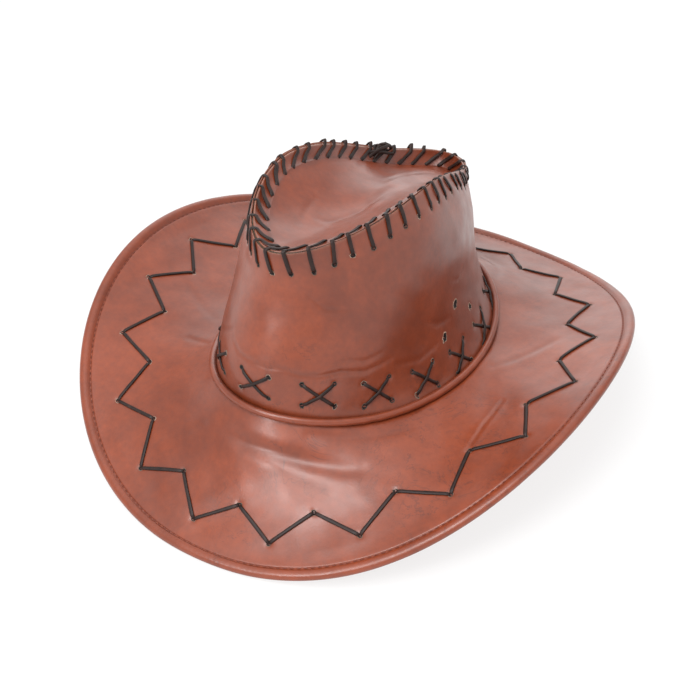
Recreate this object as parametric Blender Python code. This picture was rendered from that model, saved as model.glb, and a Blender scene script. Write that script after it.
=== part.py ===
"""Laced cowboy hat in faux leather, standing on its brim.

Metres, Z up. The front of the hat faces -Y and the wearer's left is at +X. Angles run round the
hat from the front (0) over the left side to the back (pi).
"""
import math
from bisect import bisect_right

import bmesh
import bpy
import numpy as np

# Shapes that vary round the hat are cosine series: (mean, front to back, ends to sides, ...).
RING_HALF_WIDTH = 0.0758
RING_HALF_LENGTH = 0.1070
RING_EGG = -0.09
RING_HEIGHT = (0.0, 0.0030, 0.0061)
EDGE_HALF_WIDTH = (0.1567, -0.0048, -0.0058, -0.0016)
EDGE_HALF_LENGTH = (0.1888, -0.0093, -0.0109)
BRIM_RISE = (-0.0344, -0.0182, -0.0393)
BRIM_CURL = (0.0199, 0.0017, 0.0040, 0.0008, 0.0041)
RIM_HALF_WIDTH = (0.0431, 0.0008, 0.0, -0.0037)
RIM_HALF_LENGTH = (0.0970, 0.0, 0.0028)
RIM_SHIFT = 0.0129
RIM_HEIGHT = (0.0947, 0.0154, -0.0111, -0.0014, 0.0020)
WALL_BULGE = (-0.0012, 0.0027, -0.0010)
WALL_SWAY = (-0.0006, 0.0019, 0.0037)
REST_ARC = math.radians(9.5)

# Layers, as distances along the surface normal from the middle of the brim or the wall's outside
GAP = 0.0003
LEATHER = 0.0008
BOARD_HALF = 0.0006
COVER_IN = BOARD_HALF + GAP
COVER_OUT = COVER_IN + LEATHER
WALL = 0.0010
INNER_OUT = WALL + GAP
INNER_IN = INNER_OUT + LEATHER
BAND_OUT = 0.0046
BAND = 0.0010

# Crown
STITCHES = 41
STITCH_DEPTH = 0.0127
FLANGE = 0.0175
DISH_DROP = 0.0050
DISH_ROWS = (0.78, 0.5, 0.24)
WALL_LIFT = 0.0026
BACKING_LOW = 0.0232
BACKING_TOP = FLANGE + LEATHER + 3.0 * GAP
SEAM_HALF_GAP = 0.0002
TAPE_HALF = 0.0070
BAND_HEIGHT = 0.0300
BAND_LOW = 0.0035

# Lacing
LACE = 0.0008
LACE_CLEAR = 0.0005
HOLE = 0.0017
BRIM_HOLE = 0.0021
HOLE_DEPTH = 0.0030
HOLE_TURN = math.radians(25.0)
WALL_HOLE_DEPTH = 0.0018
CROSSES = 16
CROSS_HALF_WIDTH = 0.0098
CROSS_ROWS = (0.0083, 0.0208)
CROSS_HOLE = 0.0017
ZIGZAGS = 19
ZIGZAG_START = -0.33
ZIGZAG_OUTER = 0.0215
ZIGZAG_INNER = 0.0405
ZIGZAG_DIP = 0.0003
VENTS = ((95.0, 0.34), (107.0, 0.24), (85.0, 0.225))
VENT = 0.0016
KNOT_STITCH = 4
KNOT_LIFT = 0.0045
KNOT_HALF = (0.0028, 0.0032, 0.0030)

# Edge and trim
PIPING = 0.0024
PIPING_CLEAR = 0.0006
ROLL_OUT = 0.0030
ROLL_IN = 0.0019
ROLL_OPEN = math.radians(34.0)
ROLL_STEP = math.radians(45.0)
LAYER_END = 0.0046
LEVEL_END = 0.18
LEVEL_FADE = 0.20
WIRE = 0.0011
HEM = 0.0064
THREAD = 0.0003

SIDES = 4
WIRE_SIDES = 6
PIPING_SIDES = 6
FINE = 361
ROUND = 2.0 * math.pi
TINY = 0.01

LEATHER_RED = (0.40, 0.135, 0.085)
LACE_BROWN = (0.035, 0.018, 0.014)
BACKING_PALE = (0.74, 0.62, 0.50)
BOARD_GREY = (0.30, 0.27, 0.24)
STEEL = (0.55, 0.55, 0.56)
BAND_BLACK = (0.03, 0.028, 0.027)
THREAD_BROWN = (0.16, 0.06, 0.04)


def series(values, angle):
    """Return a size that varies round the hat as a cosine series."""
    return sum(value * math.cos(order * angle) for order, value in enumerate(values))


def unit(vector):
    return vector / np.linalg.norm(vector)


# The three curves that carry the shape, and the pose in which the hat rests

def ring_point(angle):
    """Where the crown meets the brim."""
    x = RING_HALF_WIDTH * math.sin(angle) * (1.0 + RING_EGG * math.cos(angle))
    y = -RING_HALF_LENGTH * math.cos(angle)
    return np.array((x, y, series(RING_HEIGHT, angle)))


def edge_point(angle):
    """The centre of the brim's rolled edge."""
    x = math.sin(angle) * series(EDGE_HALF_WIDTH, angle)
    y = -math.cos(angle) * series(EDGE_HALF_LENGTH, angle)
    z = series(RING_HEIGHT, angle) + series(BRIM_RISE, angle) + series(BRIM_CURL, angle)
    return np.array((x, y, z))


def rim_point(angle):
    """The top edge of the crown wall."""
    x = math.sin(angle) * series(RIM_HALF_WIDTH, angle)
    y = RIM_SHIFT - math.cos(angle) * series(RIM_HALF_LENGTH, angle)
    return np.array((x, y, series(RIM_HEIGHT, angle)))


def resting_pose():
    """The tilt and lift that set the front and back of the brim's edge on one level."""
    front = edge_point(REST_ARC)
    back = edge_point(math.pi - REST_ARC)
    tilt = -math.atan2(back[2] - front[2], back[1] - front[1])
    turn = np.array(((1.0, 0.0, 0.0),
                     (0.0, math.cos(tilt), -math.sin(tilt)),
                     (0.0, math.sin(tilt), math.cos(tilt))))
    level = (turn @ front)[2]
    middle = 0.5 * ((turn @ edge_point(0.0))[1] + (turn @ edge_point(math.pi))[1])
    return turn, np.array((0.0, -middle, EDGE_LEVEL - level))


EDGE_LEVEL = ROLL_OUT * math.cos(0.5 * ROLL_STEP)
TURN, SHIFT = resting_pose()


def width_of_brim(angle):
    return np.linalg.norm(edge_point(angle) - ring_point(angle))


def height_of_wall(angle):
    return np.linalg.norm(rim_point(angle) - ring_point(angle))


def from_edge(angle, distance):
    """The place across the brim that lies a distance inside the edge roll's centre."""
    return 1.0 - distance / width_of_brim(angle)


def from_rim(angle, distance):
    """The place up the wall that lies a distance below the rim."""
    return 1.0 - distance / height_of_wall(angle)


def from_ring(angle, distance):
    """The place up the wall that lies a distance above the ring."""
    return distance / height_of_wall(angle)


def smooth_brim(angle, across):
    """The middle of the brim, from the ring (across 0) to the edge roll's centre (across 1)."""
    ring = ring_point(angle)
    point = ring + (edge_point(angle) - ring) * across
    point[2] = ring[2] + series(BRIM_RISE, angle) * across + series(BRIM_CURL, angle) * across ** 2
    point = TURN @ point + SHIFT
    point[2] = max(point[2], EDGE_LEVEL)
    return point


def smooth_wall(angle, up):
    """The outside of the crown wall, from the ring (up 0) to the rim (up 1)."""
    ring = ring_point(angle)
    along = ring_point(angle + TINY) - ring_point(angle - TINY)
    outward = unit(np.array((along[1], -along[0], 0.0)))
    bulge = series(WALL_BULGE, angle) * math.sin(math.pi * up)
    bulge += series(WALL_SWAY, angle) * math.sin(2.0 * math.pi * up)
    return TURN @ (ring + (rim_point(angle) - ring) * up + outward * bulge) + SHIFT


def even_angles(curve, count, start):
    """Angles at even distances along a closed curve; start is a share of its whole length."""
    angles = np.linspace(0.0, ROUND, FINE)
    points = np.array([curve(angle) for angle in angles])
    length = np.concatenate(([0.0], np.cumsum(np.linalg.norm(np.diff(points, axis=0), axis=1))))
    shares = start + np.arange(count) / count
    turns = np.floor(shares)
    found = np.interp((shares - turns) * length[-1], length, angles)
    return list(found + turns * ROUND)


def brim_rows(angle):
    """Places across the brim where its mesh has rows; the laces' holes lie on two of them."""
    outer = from_edge(angle, ZIGZAG_OUTER)
    inner = from_edge(angle, ZIGZAG_INNER)
    return [0.0, 0.5 * inner, inner, outer, from_edge(angle, LAYER_END), 1.0]


def wall_rows(angle):
    """Places up the wall where its mesh has rows: above the crosses and level with the dish."""
    low = from_ring(angle, BACKING_LOW)
    high = from_rim(angle, FLANGE)
    return [0.0, low, 0.5 * (low + high), high, 1.0]


class Surface:
    """A smooth surface as its mesh follows it, in triangles between columns and rows."""

    def __init__(self, smooth, columns, rows):
        self.smooth = smooth
        self.rows = rows
        self.columns = columns
        self.steps = [column - columns[0] for column in columns] + [ROUND]
        self.corners = [[smooth(angle, place) for place in rows(angle)] for angle in columns]

    def point(self, angle, place):
        turn = (angle - self.columns[0]) % ROUND
        left = min(bisect_right(self.steps, turn), len(self.columns)) - 1
        share = (turn - self.steps[left]) / (self.steps[left + 1] - self.steps[left])
        places = self.rows(angle)
        low = min(max(bisect_right(places, place), 1), len(places) - 1) - 1
        rise = (place - places[low]) / (places[low + 1] - places[low])
        here = self.corners[left]
        there = self.corners[(left + 1) % len(self.corners)]
        if slants_down(left):
            if share + rise < 1.0:
                return here[low] + share * (there[low] - here[low]) + rise * (here[low + 1] - here[low])
            return (there[low + 1] + (1.0 - share) * (here[low + 1] - there[low + 1])
                    + (1.0 - rise) * (there[low] - there[low + 1]))
        if rise > share:
            return (here[low] + rise * (here[low + 1] - here[low])
                    + share * (there[low + 1] - here[low + 1]))
        return here[low] + share * (there[low] - here[low]) + rise * (there[low + 1] - there[low])

    def normal(self, angle, place):
        """The direction that points up from the brim or out from the wall."""
        round_it = self.smooth(angle + TINY, place) - self.smooth(angle - TINY, place)
        over_it = self.smooth(angle, place + TINY) - self.smooth(angle, place - TINY)
        return unit(np.cross(round_it, over_it))

    def off(self, angle, place, distance):
        return self.point(angle, place) + distance * self.normal(angle, place)


class Brim(Surface):
    def normal(self, angle, place):
        return -super().normal(angle, place)


def slants_down(column):
    """Whether the cells after a column are split from their upper left to their lower right."""
    return column % 2 == 0


def outer_zigzag_line(angle):
    return smooth_brim(angle, from_edge(angle, ZIGZAG_OUTER))


BRIM = Brim(smooth_brim, even_angles(outer_zigzag_line, 2 * ZIGZAGS, ZIGZAG_START / ZIGZAGS),
            brim_rows)
WALL_SIDE = Surface(smooth_wall, even_angles(rim_point, STITCHES, 0.5), wall_rows)
STITCH_ANGLES = even_angles(rim_point, STITCHES, 0.5 + 0.5 / STITCHES)


# Materials and mesh tools

def make_material(name, color, roughness, metallic=0.0):
    material = bpy.data.materials.new(name)
    material.use_nodes = True
    shader = material.node_tree.nodes["Principled BSDF"]
    shader.inputs["Base Color"].default_value = (*color, 1.0)
    shader.inputs["Roughness"].default_value = roughness
    shader.inputs["Metallic"].default_value = metallic
    return material


def make_object(name, body, material):
    """Turn a finished body into a named object."""
    bmesh.ops.remove_doubles(body, verts=body.verts, dist=1e-7)
    bmesh.ops.recalc_face_normals(body, faces=body.faces)
    mesh = bpy.data.meshes.new(name)
    body.to_mesh(mesh)
    body.free()
    mesh.shade_smooth()
    mesh.set_sharp_from_angle(angle=math.radians(50.0))
    mesh.materials.append(material)
    thing = bpy.data.objects.new(name, mesh)
    bpy.context.scene.collection.objects.link(thing)
    return thing


def add_cell(body, first, second, third, fourth, slanted):
    """Fill four corners with two triangles, which meet from second to fourth if slanted."""
    if slanted:
        body.faces.new((first, second, fourth))
        body.faces.new((second, third, fourth))
    else:
        body.faces.new((first, second, third))
        body.faces.new((first, third, fourth))


def skin(body, row, following, folded=False):
    """Join two loops, splitting every cell as the surface's own cells are split."""
    for index in range(len(row)):
        after = (index + 1) % len(row)
        add_cell(body, row[index], row[after], following[after], following[index],
                 slants_down(index) != folded)


def loft(loops, ring=False):
    """A closed body skinned through section loops, capped or joined into a ring."""
    body = bmesh.new()
    rows = [[body.verts.new(point) for point in loop] for loop in loops]
    for row, following in zip(rows, rows[1:]):
        skin(body, row, following)
    if ring:
        skin(body, rows[-1], rows[0])
    else:
        body.faces.new(rows[0])
        body.faces.new(rows[-1])
    return body


def fold(upper, upper_centre, lower, lower_centre):
    """A closed dish: out through the upper loops and back in through the lower ones."""
    body = bmesh.new()
    up = [[body.verts.new(point) for point in loop] for loop in upper]
    down = [[body.verts.new(point) for point in loop] for loop in lower]
    for row, following in zip(up, up[1:]):
        skin(body, row, following)
    skin(body, up[-1], down[0])
    for row, following in zip(down, down[1:]):
        skin(body, row, following, folded=True)
    for row, centre in ((up[0], upper_centre), (down[-1], lower_centre)):
        tip = body.verts.new(centre)
        for index in range(len(row)):
            body.faces.new((row[index], row[(index + 1) % len(row)], tip))
    return body


def tube(points, radius, sides=SIDES, ring=True):
    """A lace, thread or piping through points, its section turned as little as it can be."""
    loops = []
    across = None
    count = len(points)
    for index, point in enumerate(points):
        before = points[index - 1] if ring or index > 0 else point
        after = points[(index + 1) % count] if ring or index < count - 1 else point
        along = np.zeros(3)
        for step in (point - before, after - point):
            if np.any(step):
                along = along + unit(step)
        along = unit(along)
        if across is None:
            across = np.cross(along, (0.0, 0.0, 1.0))
        across = unit(across - along * np.dot(across, along))
        other = np.cross(along, across)
        turns = [ROUND * (side + 0.5) / sides for side in range(sides)]
        loops.append([point + radius * (math.cos(turn) * across + math.sin(turn) * other)
                      for turn in turns])
    if ring:
        starts = [np.linalg.norm(corner - loops[-1][0]) for corner in loops[0]]
        shift = starts.index(min(starts))
        loops.append(loops[0][shift:] + loops[0][:shift])
    body = loft(loops)
    if ring:
        bmesh.ops.delete(body, geom=list(body.faces)[-2:], context='FACES_ONLY')
    return body


def layer(surface, columns, places, low, high, ring=True):
    """A sheet that follows a surface between two distances from it, split as the surface is."""
    body = bmesh.new()
    sections = []
    for angle in columns:
        spots = places(angle)
        outer = [body.verts.new(surface.off(angle, spot, high)) for spot in spots]
        inner = [body.verts.new(surface.off(angle, spot, low)) for spot in spots]
        sections.append((outer, inner))
    pairs = list(zip(sections, sections[1:]))
    if ring:
        pairs.append((sections[-1], sections[0]))
    for column, (here, there) in enumerate(pairs):
        for side in (0, 1):
            for row in range(len(here[side]) - 1):
                add_cell(body, here[side][row], here[side][row + 1],
                         there[side][row + 1], there[side][row], slants_down(column))
        for row in (0, -1):
            add_cell(body, here[0][row], here[1][row], there[1][row], there[0][row], False)
    if not ring:
        for outer, inner in (sections[0], sections[-1]):
            for row in range(len(outer) - 1):
                add_cell(body, outer[row], outer[row + 1], inner[row + 1], inner[row], False)
    return body


def punch(thing, spots):
    """Cut square holes, each given by its centre, direction, half diagonal and depth."""
    body = bmesh.new()
    for point, normal, radius, depth in spots:
        level = unit(np.cross(normal, (0.0, 0.0, 1.0)))
        side = math.cos(HOLE_TURN) * level + math.sin(HOLE_TURN) * np.cross(normal, level)
        other = np.cross(normal, side)
        near, far = [[body.verts.new(point + reach * normal + radius * corner)
                      for corner in (side, other, -side, -other)] for reach in (-depth, depth)]
        for index in range(SIDES):
            after = (index + 1) % SIDES
            body.faces.new((near[index], near[after], far[after], far[index]))
        body.faces.new(near)
        body.faces.new(far)
    cutter = make_object(thing.name + "_punch", body, thing.data.materials[0])
    cutter.hide_render = True
    cutter.display_type = 'WIRE'
    cut = thing.modifiers.new("Holes", 'BOOLEAN')
    cut.operation = 'DIFFERENCE'
    cut.object = cutter


# Brim

def zigzag_corners():
    """The zigzag's corners as (angle, across), by turns near the edge and further in."""
    return [(angle, from_edge(angle, ZIGZAG_INNER if index % 2 else ZIGZAG_OUTER))
            for index, angle in enumerate(BRIM.columns)]


def make_brim(leather, board):
    """Two covers with a board between them; the lace dips through the top two layers."""
    holes = [(BRIM.point(angle, across), BRIM.normal(angle, across), BRIM_HOLE, HOLE_DEPTH)
             for angle, across in zigzag_corners()]

    def places(angle):
        return brim_rows(angle)[:-1]

    layers = (("brim_top_cover", COVER_IN, COVER_OUT, leather, True),
              ("brim_core", -BOARD_HALF, BOARD_HALF, board, True),
              ("brim_under_cover", -COVER_OUT, -COVER_IN, leather, False))
    for name, low, high, material, pierced in layers:
        body = layer(BRIM, BRIM.columns, places, low, high)
        thing = make_object(name, body, material)
        if pierced:
            punch(thing, holes)


def make_edge(leather, steel):
    """The cover's edge rolled round a wire, its mouth towards the brim."""
    mouth = math.pi - ROLL_OPEN
    turns = [-mouth] + [ROLL_STEP * (index + 0.5) for index in range(-3, 3)] + [mouth]
    wire_turns = [ROUND * side / WIRE_SIDES for side in range(WIRE_SIDES)]
    upright = np.array((0.0, 0.0, 1.0))
    roll = []
    wire = []
    for angle in BRIM.columns:
        centre = smooth_brim(angle, 1.0)
        along = smooth_brim(angle + TINY, 1.0) - smooth_brim(angle - TINY, 1.0)
        level = unit(np.array((along[1], -along[0], 0.0)))
        slope = unit(centre - BRIM.point(angle, from_edge(angle, ZIGZAG_OUTER)))
        follow = min(max((abs(math.sin(angle)) - LEVEL_END) / LEVEL_FADE, 0.0), 1.0)
        outward = unit(level + (unit(slope - along * np.dot(slope, along) / np.dot(along, along))
                                - level) * follow)
        upward = unit(upright - outward * outward[2])
        section = [(turn, ROLL_OUT) for turn in turns]
        section += [(turn, ROLL_IN) for turn in reversed(turns)]
        roll.append([centre + radius * (math.cos(turn) * outward + math.sin(turn) * upward)
                     for turn, radius in section])
        wire.append([centre + WIRE * (math.cos(turn) * outward + math.sin(turn) * upward)
                     for turn in wire_turns])
    make_object("brim_edge_roll", loft(roll, ring=True), leather)
    make_object("brim_edge_wire", loft(wire, ring=True), steel)


def make_brim_lace(lace):
    """One lace that zigzags over the brim and dips into a hole at every corner."""
    over = COVER_OUT + LACE + LACE_CLEAR
    corners = zigzag_corners()
    first_angle, first_across = corners[0]
    points = []
    for corner, following in zip(corners, corners[1:] + [(first_angle + ROUND, first_across)]):
        points.append(BRIM.off(*corner, ZIGZAG_DIP))
        for part in (0.045, 0.5, 0.955):
            angle, across = [a + (b - a) * part for a, b in zip(corner, following)]
            points.append(BRIM.off(angle, across, over))
    make_object("brim_lace", tube(points, LACE), lace)


def make_hem_thread(thread):
    """The line of sewing that closes the edge roll."""
    lift = COVER_OUT + THREAD + GAP
    points = [BRIM.off(angle, from_edge(angle, HEM), lift) for angle in BRIM.columns]
    make_object("hem_thread", tube(points, THREAD), thread)


# Crown

def cross_corners():
    """The holes of each crossed stitch, as its left and right angle round the ring."""
    pairs = []
    for angle in even_angles(ring_point, CROSSES, 0.0):
        pace = np.linalg.norm(ring_point(angle + TINY) - ring_point(angle - TINY)) / (2.0 * TINY)
        pairs.append((angle - CROSS_HALF_WIDTH / pace, angle + CROSS_HALF_WIDTH / pace))
    return pairs


def wall_hole(angle, up, radius):
    return (WALL_SIDE.point(angle, up), WALL_SIDE.normal(angle, up), radius, WALL_HOLE_DEPTH)


def stitch_holes(depth):
    """Holes of the whip stitch, as deep as a piece needs on both sides of the wall's face."""
    holes = []
    for angle in STITCH_ANGLES:
        up = from_rim(angle, STITCH_DEPTH)
        holes.append((WALL_SIDE.point(angle, up), WALL_SIDE.normal(angle, up), HOLE, depth))
    return holes


def vent_holes(depth):
    holes = []
    for degrees, up in VENTS:
        angle = math.radians(degrees)
        holes.append((WALL_SIDE.point(angle, up), WALL_SIDE.normal(angle, up), VENT, depth))
    return holes


def strip_columns(half_gap):
    """The wall's columns with its two ends drawn back from the seam."""
    return [math.pi + half_gap] + WALL_SIDE.columns[1:] + [math.pi + ROUND - half_gap]


def make_crown_wall(leather):
    """One strip round the head, its ends meeting at the back seam."""
    def places(angle):
        return [from_ring(angle, WALL_LIFT)] + wall_rows(angle)[1:]

    columns = strip_columns(SEAM_HALF_GAP / RING_HALF_WIDTH)
    body = layer(WALL_SIDE, columns, places, -WALL, 0.0, ring=False)
    wall = make_object("crown_wall", body, leather)
    holes = stitch_holes(WALL_HOLE_DEPTH) + vent_holes(WALL_HOLE_DEPTH)
    for pair in cross_corners():
        for angle in pair:
            for height in CROSS_ROWS:
                holes.append(wall_hole(angle, from_ring(angle, height), CROSS_HOLE))
    punch(wall, holes)


def backing_rows(angle):
    """Rows behind the wall, from above the crossed stitches to below the dished panel."""
    return wall_rows(angle)[1:3] + [from_rim(angle, BACKING_TOP)]


def make_wall_backing(cloth):
    """Pale cloth behind the middle of the wall, open at the back for the seam tape."""
    columns = strip_columns((TAPE_HALF + GAP) / RING_HALF_WIDTH)
    body = layer(WALL_SIDE, columns, backing_rows, -INNER_IN, -INNER_OUT, ring=False)
    punch(make_object("crown_wall_backing", body, cloth), vent_holes(HOLE_DEPTH))


def make_back_seam(cloth, thread):
    """A tape behind the seam and the line of thread that sews the wall to it."""
    half = TAPE_HALF / RING_HALF_WIDTH
    columns = [math.pi - half, math.pi, math.pi + half]
    body = layer(WALL_SIDE, columns, backing_rows, -INNER_IN, -INNER_OUT, ring=False)
    make_object("back_seam_tape", body, cloth)
    lift = THREAD + GAP
    low = from_ring(math.pi, BACKING_LOW)
    high = from_rim(math.pi, FLANGE)
    beside = math.pi + 4.0 * THREAD / RING_HALF_WIDTH
    points = [WALL_SIDE.off(beside, low + (high - low) * part / 4.0, lift) for part in range(5)]
    make_object("back_seam_thread", tube(points, THREAD, ring=False), thread)


def dish_loops(drop):
    """Loops and centre of the dished panel, a distance below its upper face."""
    edge = []
    for angle in WALL_SIDE.columns:
        edge.append(WALL_SIDE.off(angle, from_rim(angle, FLANGE), -INNER_IN))
    centre = np.mean(edge, axis=0) - np.array((0.0, 0.0, DISH_DROP))
    down = np.array((0.0, 0.0, -drop))
    loops = [[centre + (point - centre) * share + down for point in edge] for share in DISH_ROWS]
    return loops, centre + down


def make_top_panel(leather, cloth):
    """The dished panel with its edge turned up inside the wall, and the cloth under it."""
    upper, upper_centre = dish_loops(0.0)
    lower, lower_centre = dish_loops(LEATHER)
    inside = []
    outside = []
    for distance in (FLANGE, 0.0):
        inside.append([WALL_SIDE.off(angle, from_rim(angle, distance), -INNER_IN)
                       for angle in WALL_SIDE.columns])
        reach = distance + LEATHER if distance == FLANGE else distance
        back = INNER_OUT + 2.0 * GAP if distance == FLANGE else INNER_OUT
        outside.append([WALL_SIDE.off(angle, from_rim(angle, reach), -back)
                        for angle in WALL_SIDE.columns])
    body = fold(upper[::-1] + inside, upper_centre, outside[::-1] + lower, lower_centre)
    panel = make_object("crown_top_panel", body, leather)
    punch(panel, stitch_holes(HOLE_DEPTH))
    top, top_centre = dish_loops(LEATHER + 2.0 * GAP)
    bottom, bottom_centre = dish_loops(2.0 * LEATHER + 2.0 * GAP)
    body = fold(top[::-1], top_centre, bottom, bottom_centre)
    make_object("crown_top_backing", body, cloth)


def make_rim_lace(lace):
    """The whip stitch: up the outside, over the rim, down the inside and out of the next hole."""
    out = LACE + LACE_CLEAR
    inside = -(INNER_IN + LACE + 3.0 * LACE_CLEAR)
    points = []
    for angle, following in zip(STITCH_ANGLES, STITCH_ANGLES[1:] + [STITCH_ANGLES[0] + ROUND]):
        step = following - angle
        top = WALL_SIDE.off(angle + 0.25 * step, 1.0, -0.5 * INNER_IN)
        points.append(WALL_SIDE.off(angle, from_rim(angle, STITCH_DEPTH), out))
        points.append(WALL_SIDE.off(angle, 1.0, out))
        points.append(top + np.array((0.0, 0.0, LACE + 2.7 * LACE_CLEAR)))
        points.append(WALL_SIDE.off(angle + 0.5 * step, 1.0, inside))
        points.append(WALL_SIDE.off(following, from_rim(following, STITCH_DEPTH), inside))
    make_object("crown_rim_lace", tube(points, LACE), lace)


def make_lace_knot(lace):
    """The knot that ties the ends of the rim lace, between two stitches on the right side."""
    angle = 0.5 * (STITCH_ANGLES[KNOT_STITCH] + STITCH_ANGLES[KNOT_STITCH + 1])
    centre = WALL_SIDE.off(angle, 1.0, -0.5 * INNER_IN) + np.array((0.0, 0.0, KNOT_LIFT))
    along = unit(WALL_SIDE.point(angle + TINY, 1.0) - WALL_SIDE.point(angle - TINY, 1.0))
    across = unit(np.cross(along, (0.0, 0.0, 1.0)))
    body = bmesh.new()
    bmesh.ops.create_icosphere(body, subdivisions=1, radius=1.0)
    for corner in body.verts:
        spread = corner.co.x * KNOT_HALF[0] * along + corner.co.y * KNOT_HALF[1] * across
        corner.co = centre + spread + np.array((0.0, 0.0, corner.co.z * KNOT_HALF[2]))
    make_object("crown_lace_knot", body, lace)


def make_cross_laces(lace):
    """Two laces that cross on every stitch and run level behind the wall between stitches."""
    out = LACE + LACE_CLEAR
    behind = -(WALL + LACE + LACE_CLEAR)
    low, high = CROSS_ROWS
    pairs = cross_corners()
    for name, starts_rising in (("cross_lace_first", True), ("cross_lace_second", False)):
        points = []
        for index, (left, right) in enumerate(pairs):
            rising = starts_rising == (index % 2 == 0)
            start, end = (low, high) if rising else (high, low)
            middle = out + GAP + (2.0 * LACE + GAP if rising else 0.0)
            centre = 0.5 * (left + right)
            points.append(WALL_SIDE.off(left, from_ring(left, start), behind))
            points.append(WALL_SIDE.off(left, from_ring(left, start), out))
            points.append(WALL_SIDE.off(centre, from_ring(centre, 0.5 * (low + high)), middle))
            points.append(WALL_SIDE.off(right, from_ring(right, end), out))
            points.append(WALL_SIDE.off(right, from_ring(right, end), behind))
        make_object(name, tube(points, LACE), lace)


def make_piping(leather):
    """The cord that covers the joint of crown and brim."""
    points = []
    for angle in BRIM.columns:
        across = (PIPING + PIPING_CLEAR) / width_of_brim(angle)
        points.append(BRIM.off(angle, across, COVER_OUT + PIPING + PIPING_CLEAR))
    make_object("base_piping", tube(points, PIPING, sides=PIPING_SIDES), leather)


def make_sweatband(band, thread):
    """The band inside the opening, and the thread along its lower edge."""
    def places(angle):
        return [from_ring(angle, -BAND_LOW), wall_rows(angle)[1], from_ring(angle, BAND_HEIGHT)]

    body = layer(WALL_SIDE, WALL_SIDE.columns, places, -BAND_OUT - BAND, -BAND_OUT)
    make_object("sweatband", body, band)
    lift = -(BAND_OUT + BAND + THREAD + GAP)
    low = THREAD - BAND_LOW
    points = [WALL_SIDE.off(angle, from_ring(angle, low), lift) for angle in WALL_SIDE.columns]
    make_object("sweatband_thread", tube(points, THREAD), thread)


def main():
    for thing in list(bpy.context.scene.objects):
        bpy.data.objects.remove(thing, do_unlink=True)
    leather = make_material("red_brown_leather", LEATHER_RED, 0.38)
    lace = make_material("dark_lace", LACE_BROWN, 0.5)
    cloth = make_material("pale_backing", BACKING_PALE, 0.9)
    board = make_material("stiff_board", BOARD_GREY, 0.9)
    steel = make_material("edge_wire_steel", STEEL, 0.35, 1.0)
    band = make_material("sweatband_fabric", BAND_BLACK, 0.8)
    thread = make_material("sewing_thread", THREAD_BROWN, 0.7)
    make_brim(leather, board)
    make_edge(leather, steel)
    make_brim_lace(lace)
    make_hem_thread(thread)
    make_crown_wall(leather)
    make_wall_backing(cloth)
    make_back_seam(cloth, thread)
    make_top_panel(leather, cloth)
    make_rim_lace(lace)
    make_lace_knot(lace)
    make_cross_laces(lace)
    make_piping(leather)
    make_sweatband(band, thread)


main()
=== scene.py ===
"""The looks of the laced cowboy hat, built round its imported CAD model.

Metres, Z up, the front of the hat towards -Y and the wearer's left at +X. Angles run round the
hat from the front (0) over the left side to the back (pi). Every piece is made in mesh code on
the same curves as the CAD, at about one millimetre, with the small relief of real leather.
"""
import math

import bpy
import numpy as np
from mathutils import Euler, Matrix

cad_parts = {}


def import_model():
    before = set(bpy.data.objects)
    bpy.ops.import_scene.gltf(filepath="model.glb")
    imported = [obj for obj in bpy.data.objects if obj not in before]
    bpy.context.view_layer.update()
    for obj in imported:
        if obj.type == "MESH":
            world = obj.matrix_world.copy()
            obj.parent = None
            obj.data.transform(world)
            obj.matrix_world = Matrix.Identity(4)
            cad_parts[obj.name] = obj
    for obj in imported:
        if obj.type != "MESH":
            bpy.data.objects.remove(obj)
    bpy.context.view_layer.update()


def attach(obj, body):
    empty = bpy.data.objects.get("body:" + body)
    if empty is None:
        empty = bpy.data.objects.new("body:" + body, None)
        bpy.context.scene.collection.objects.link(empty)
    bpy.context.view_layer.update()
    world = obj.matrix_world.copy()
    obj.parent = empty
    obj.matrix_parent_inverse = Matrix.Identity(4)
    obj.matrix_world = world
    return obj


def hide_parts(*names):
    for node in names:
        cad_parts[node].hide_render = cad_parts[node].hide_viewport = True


MM = 0.001
ROUND = 2.0 * math.pi

# A small turn, in radians, over which a surface's slope is measured
TINY = 0.01

# The curves that carry the shape, as cosine series: (mean, front to back, ends to sides, ...)
RING_HALF_WIDTH = 0.0758
RING_HALF_LENGTH = 0.1070
RING_EGG = -0.09
RING_HEIGHT = (0.0, 0.0030, 0.0061)
EDGE_HALF_WIDTH = (0.1544, -0.0048, -0.0058, -0.0016)
EDGE_HALF_LENGTH = (0.1865, -0.0093, -0.0109)
BRIM_RISE = (-0.0344, -0.0182, -0.0393)
BRIM_CURL = (0.0199, 0.0017, 0.0040, 0.0008, 0.0041)
RIM_HALF_WIDTH = (0.0431, 0.0008, 0.0, -0.0037)
RIM_HALF_LENGTH = (0.0970, 0.0, 0.0028)
RIM_SHIFT = 0.0129
RIM_HEIGHT = (0.0947, 0.0154, -0.0111, -0.0014, 0.0020)
WALL_BULGE = (-0.0012, 0.0027, -0.0010)
WALL_SWAY = (-0.0006, 0.0019, 0.0037)

# The swelling at the wall's foot, round one place
FOOT = 5.5 * MM
FOOT_ANGLE = math.radians(46.0)
FOOT_ARC = math.radians(50.0)
FOOT_HEIGHT = 5.0 * MM

# How the hat rests on the floor
REST_ARC = math.radians(9.5)
EDGE_LEVEL = 2.77 * MM
REST_EASE = 0.4 * MM
FLOOR_GAP = 0.02 * MM

# Layers, as distances from the middle of the brim or from the outside of the wall
BOARD_HALF = 0.6 * MM
COVER_IN = 0.9 * MM
COVER_OUT = 1.7 * MM
WALL = 1.0 * MM
FLANGE_OUT = 1.3 * MM
FLANGE_IN = 2.1 * MM
WALL_HEM = 1.5 * MM
CLOTH_OUT = 1.9 * MM
CLOTH_IN = 2.4 * MM
BAND_OUT = 4.6 * MM
BAND = 1.0 * MM

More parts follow.
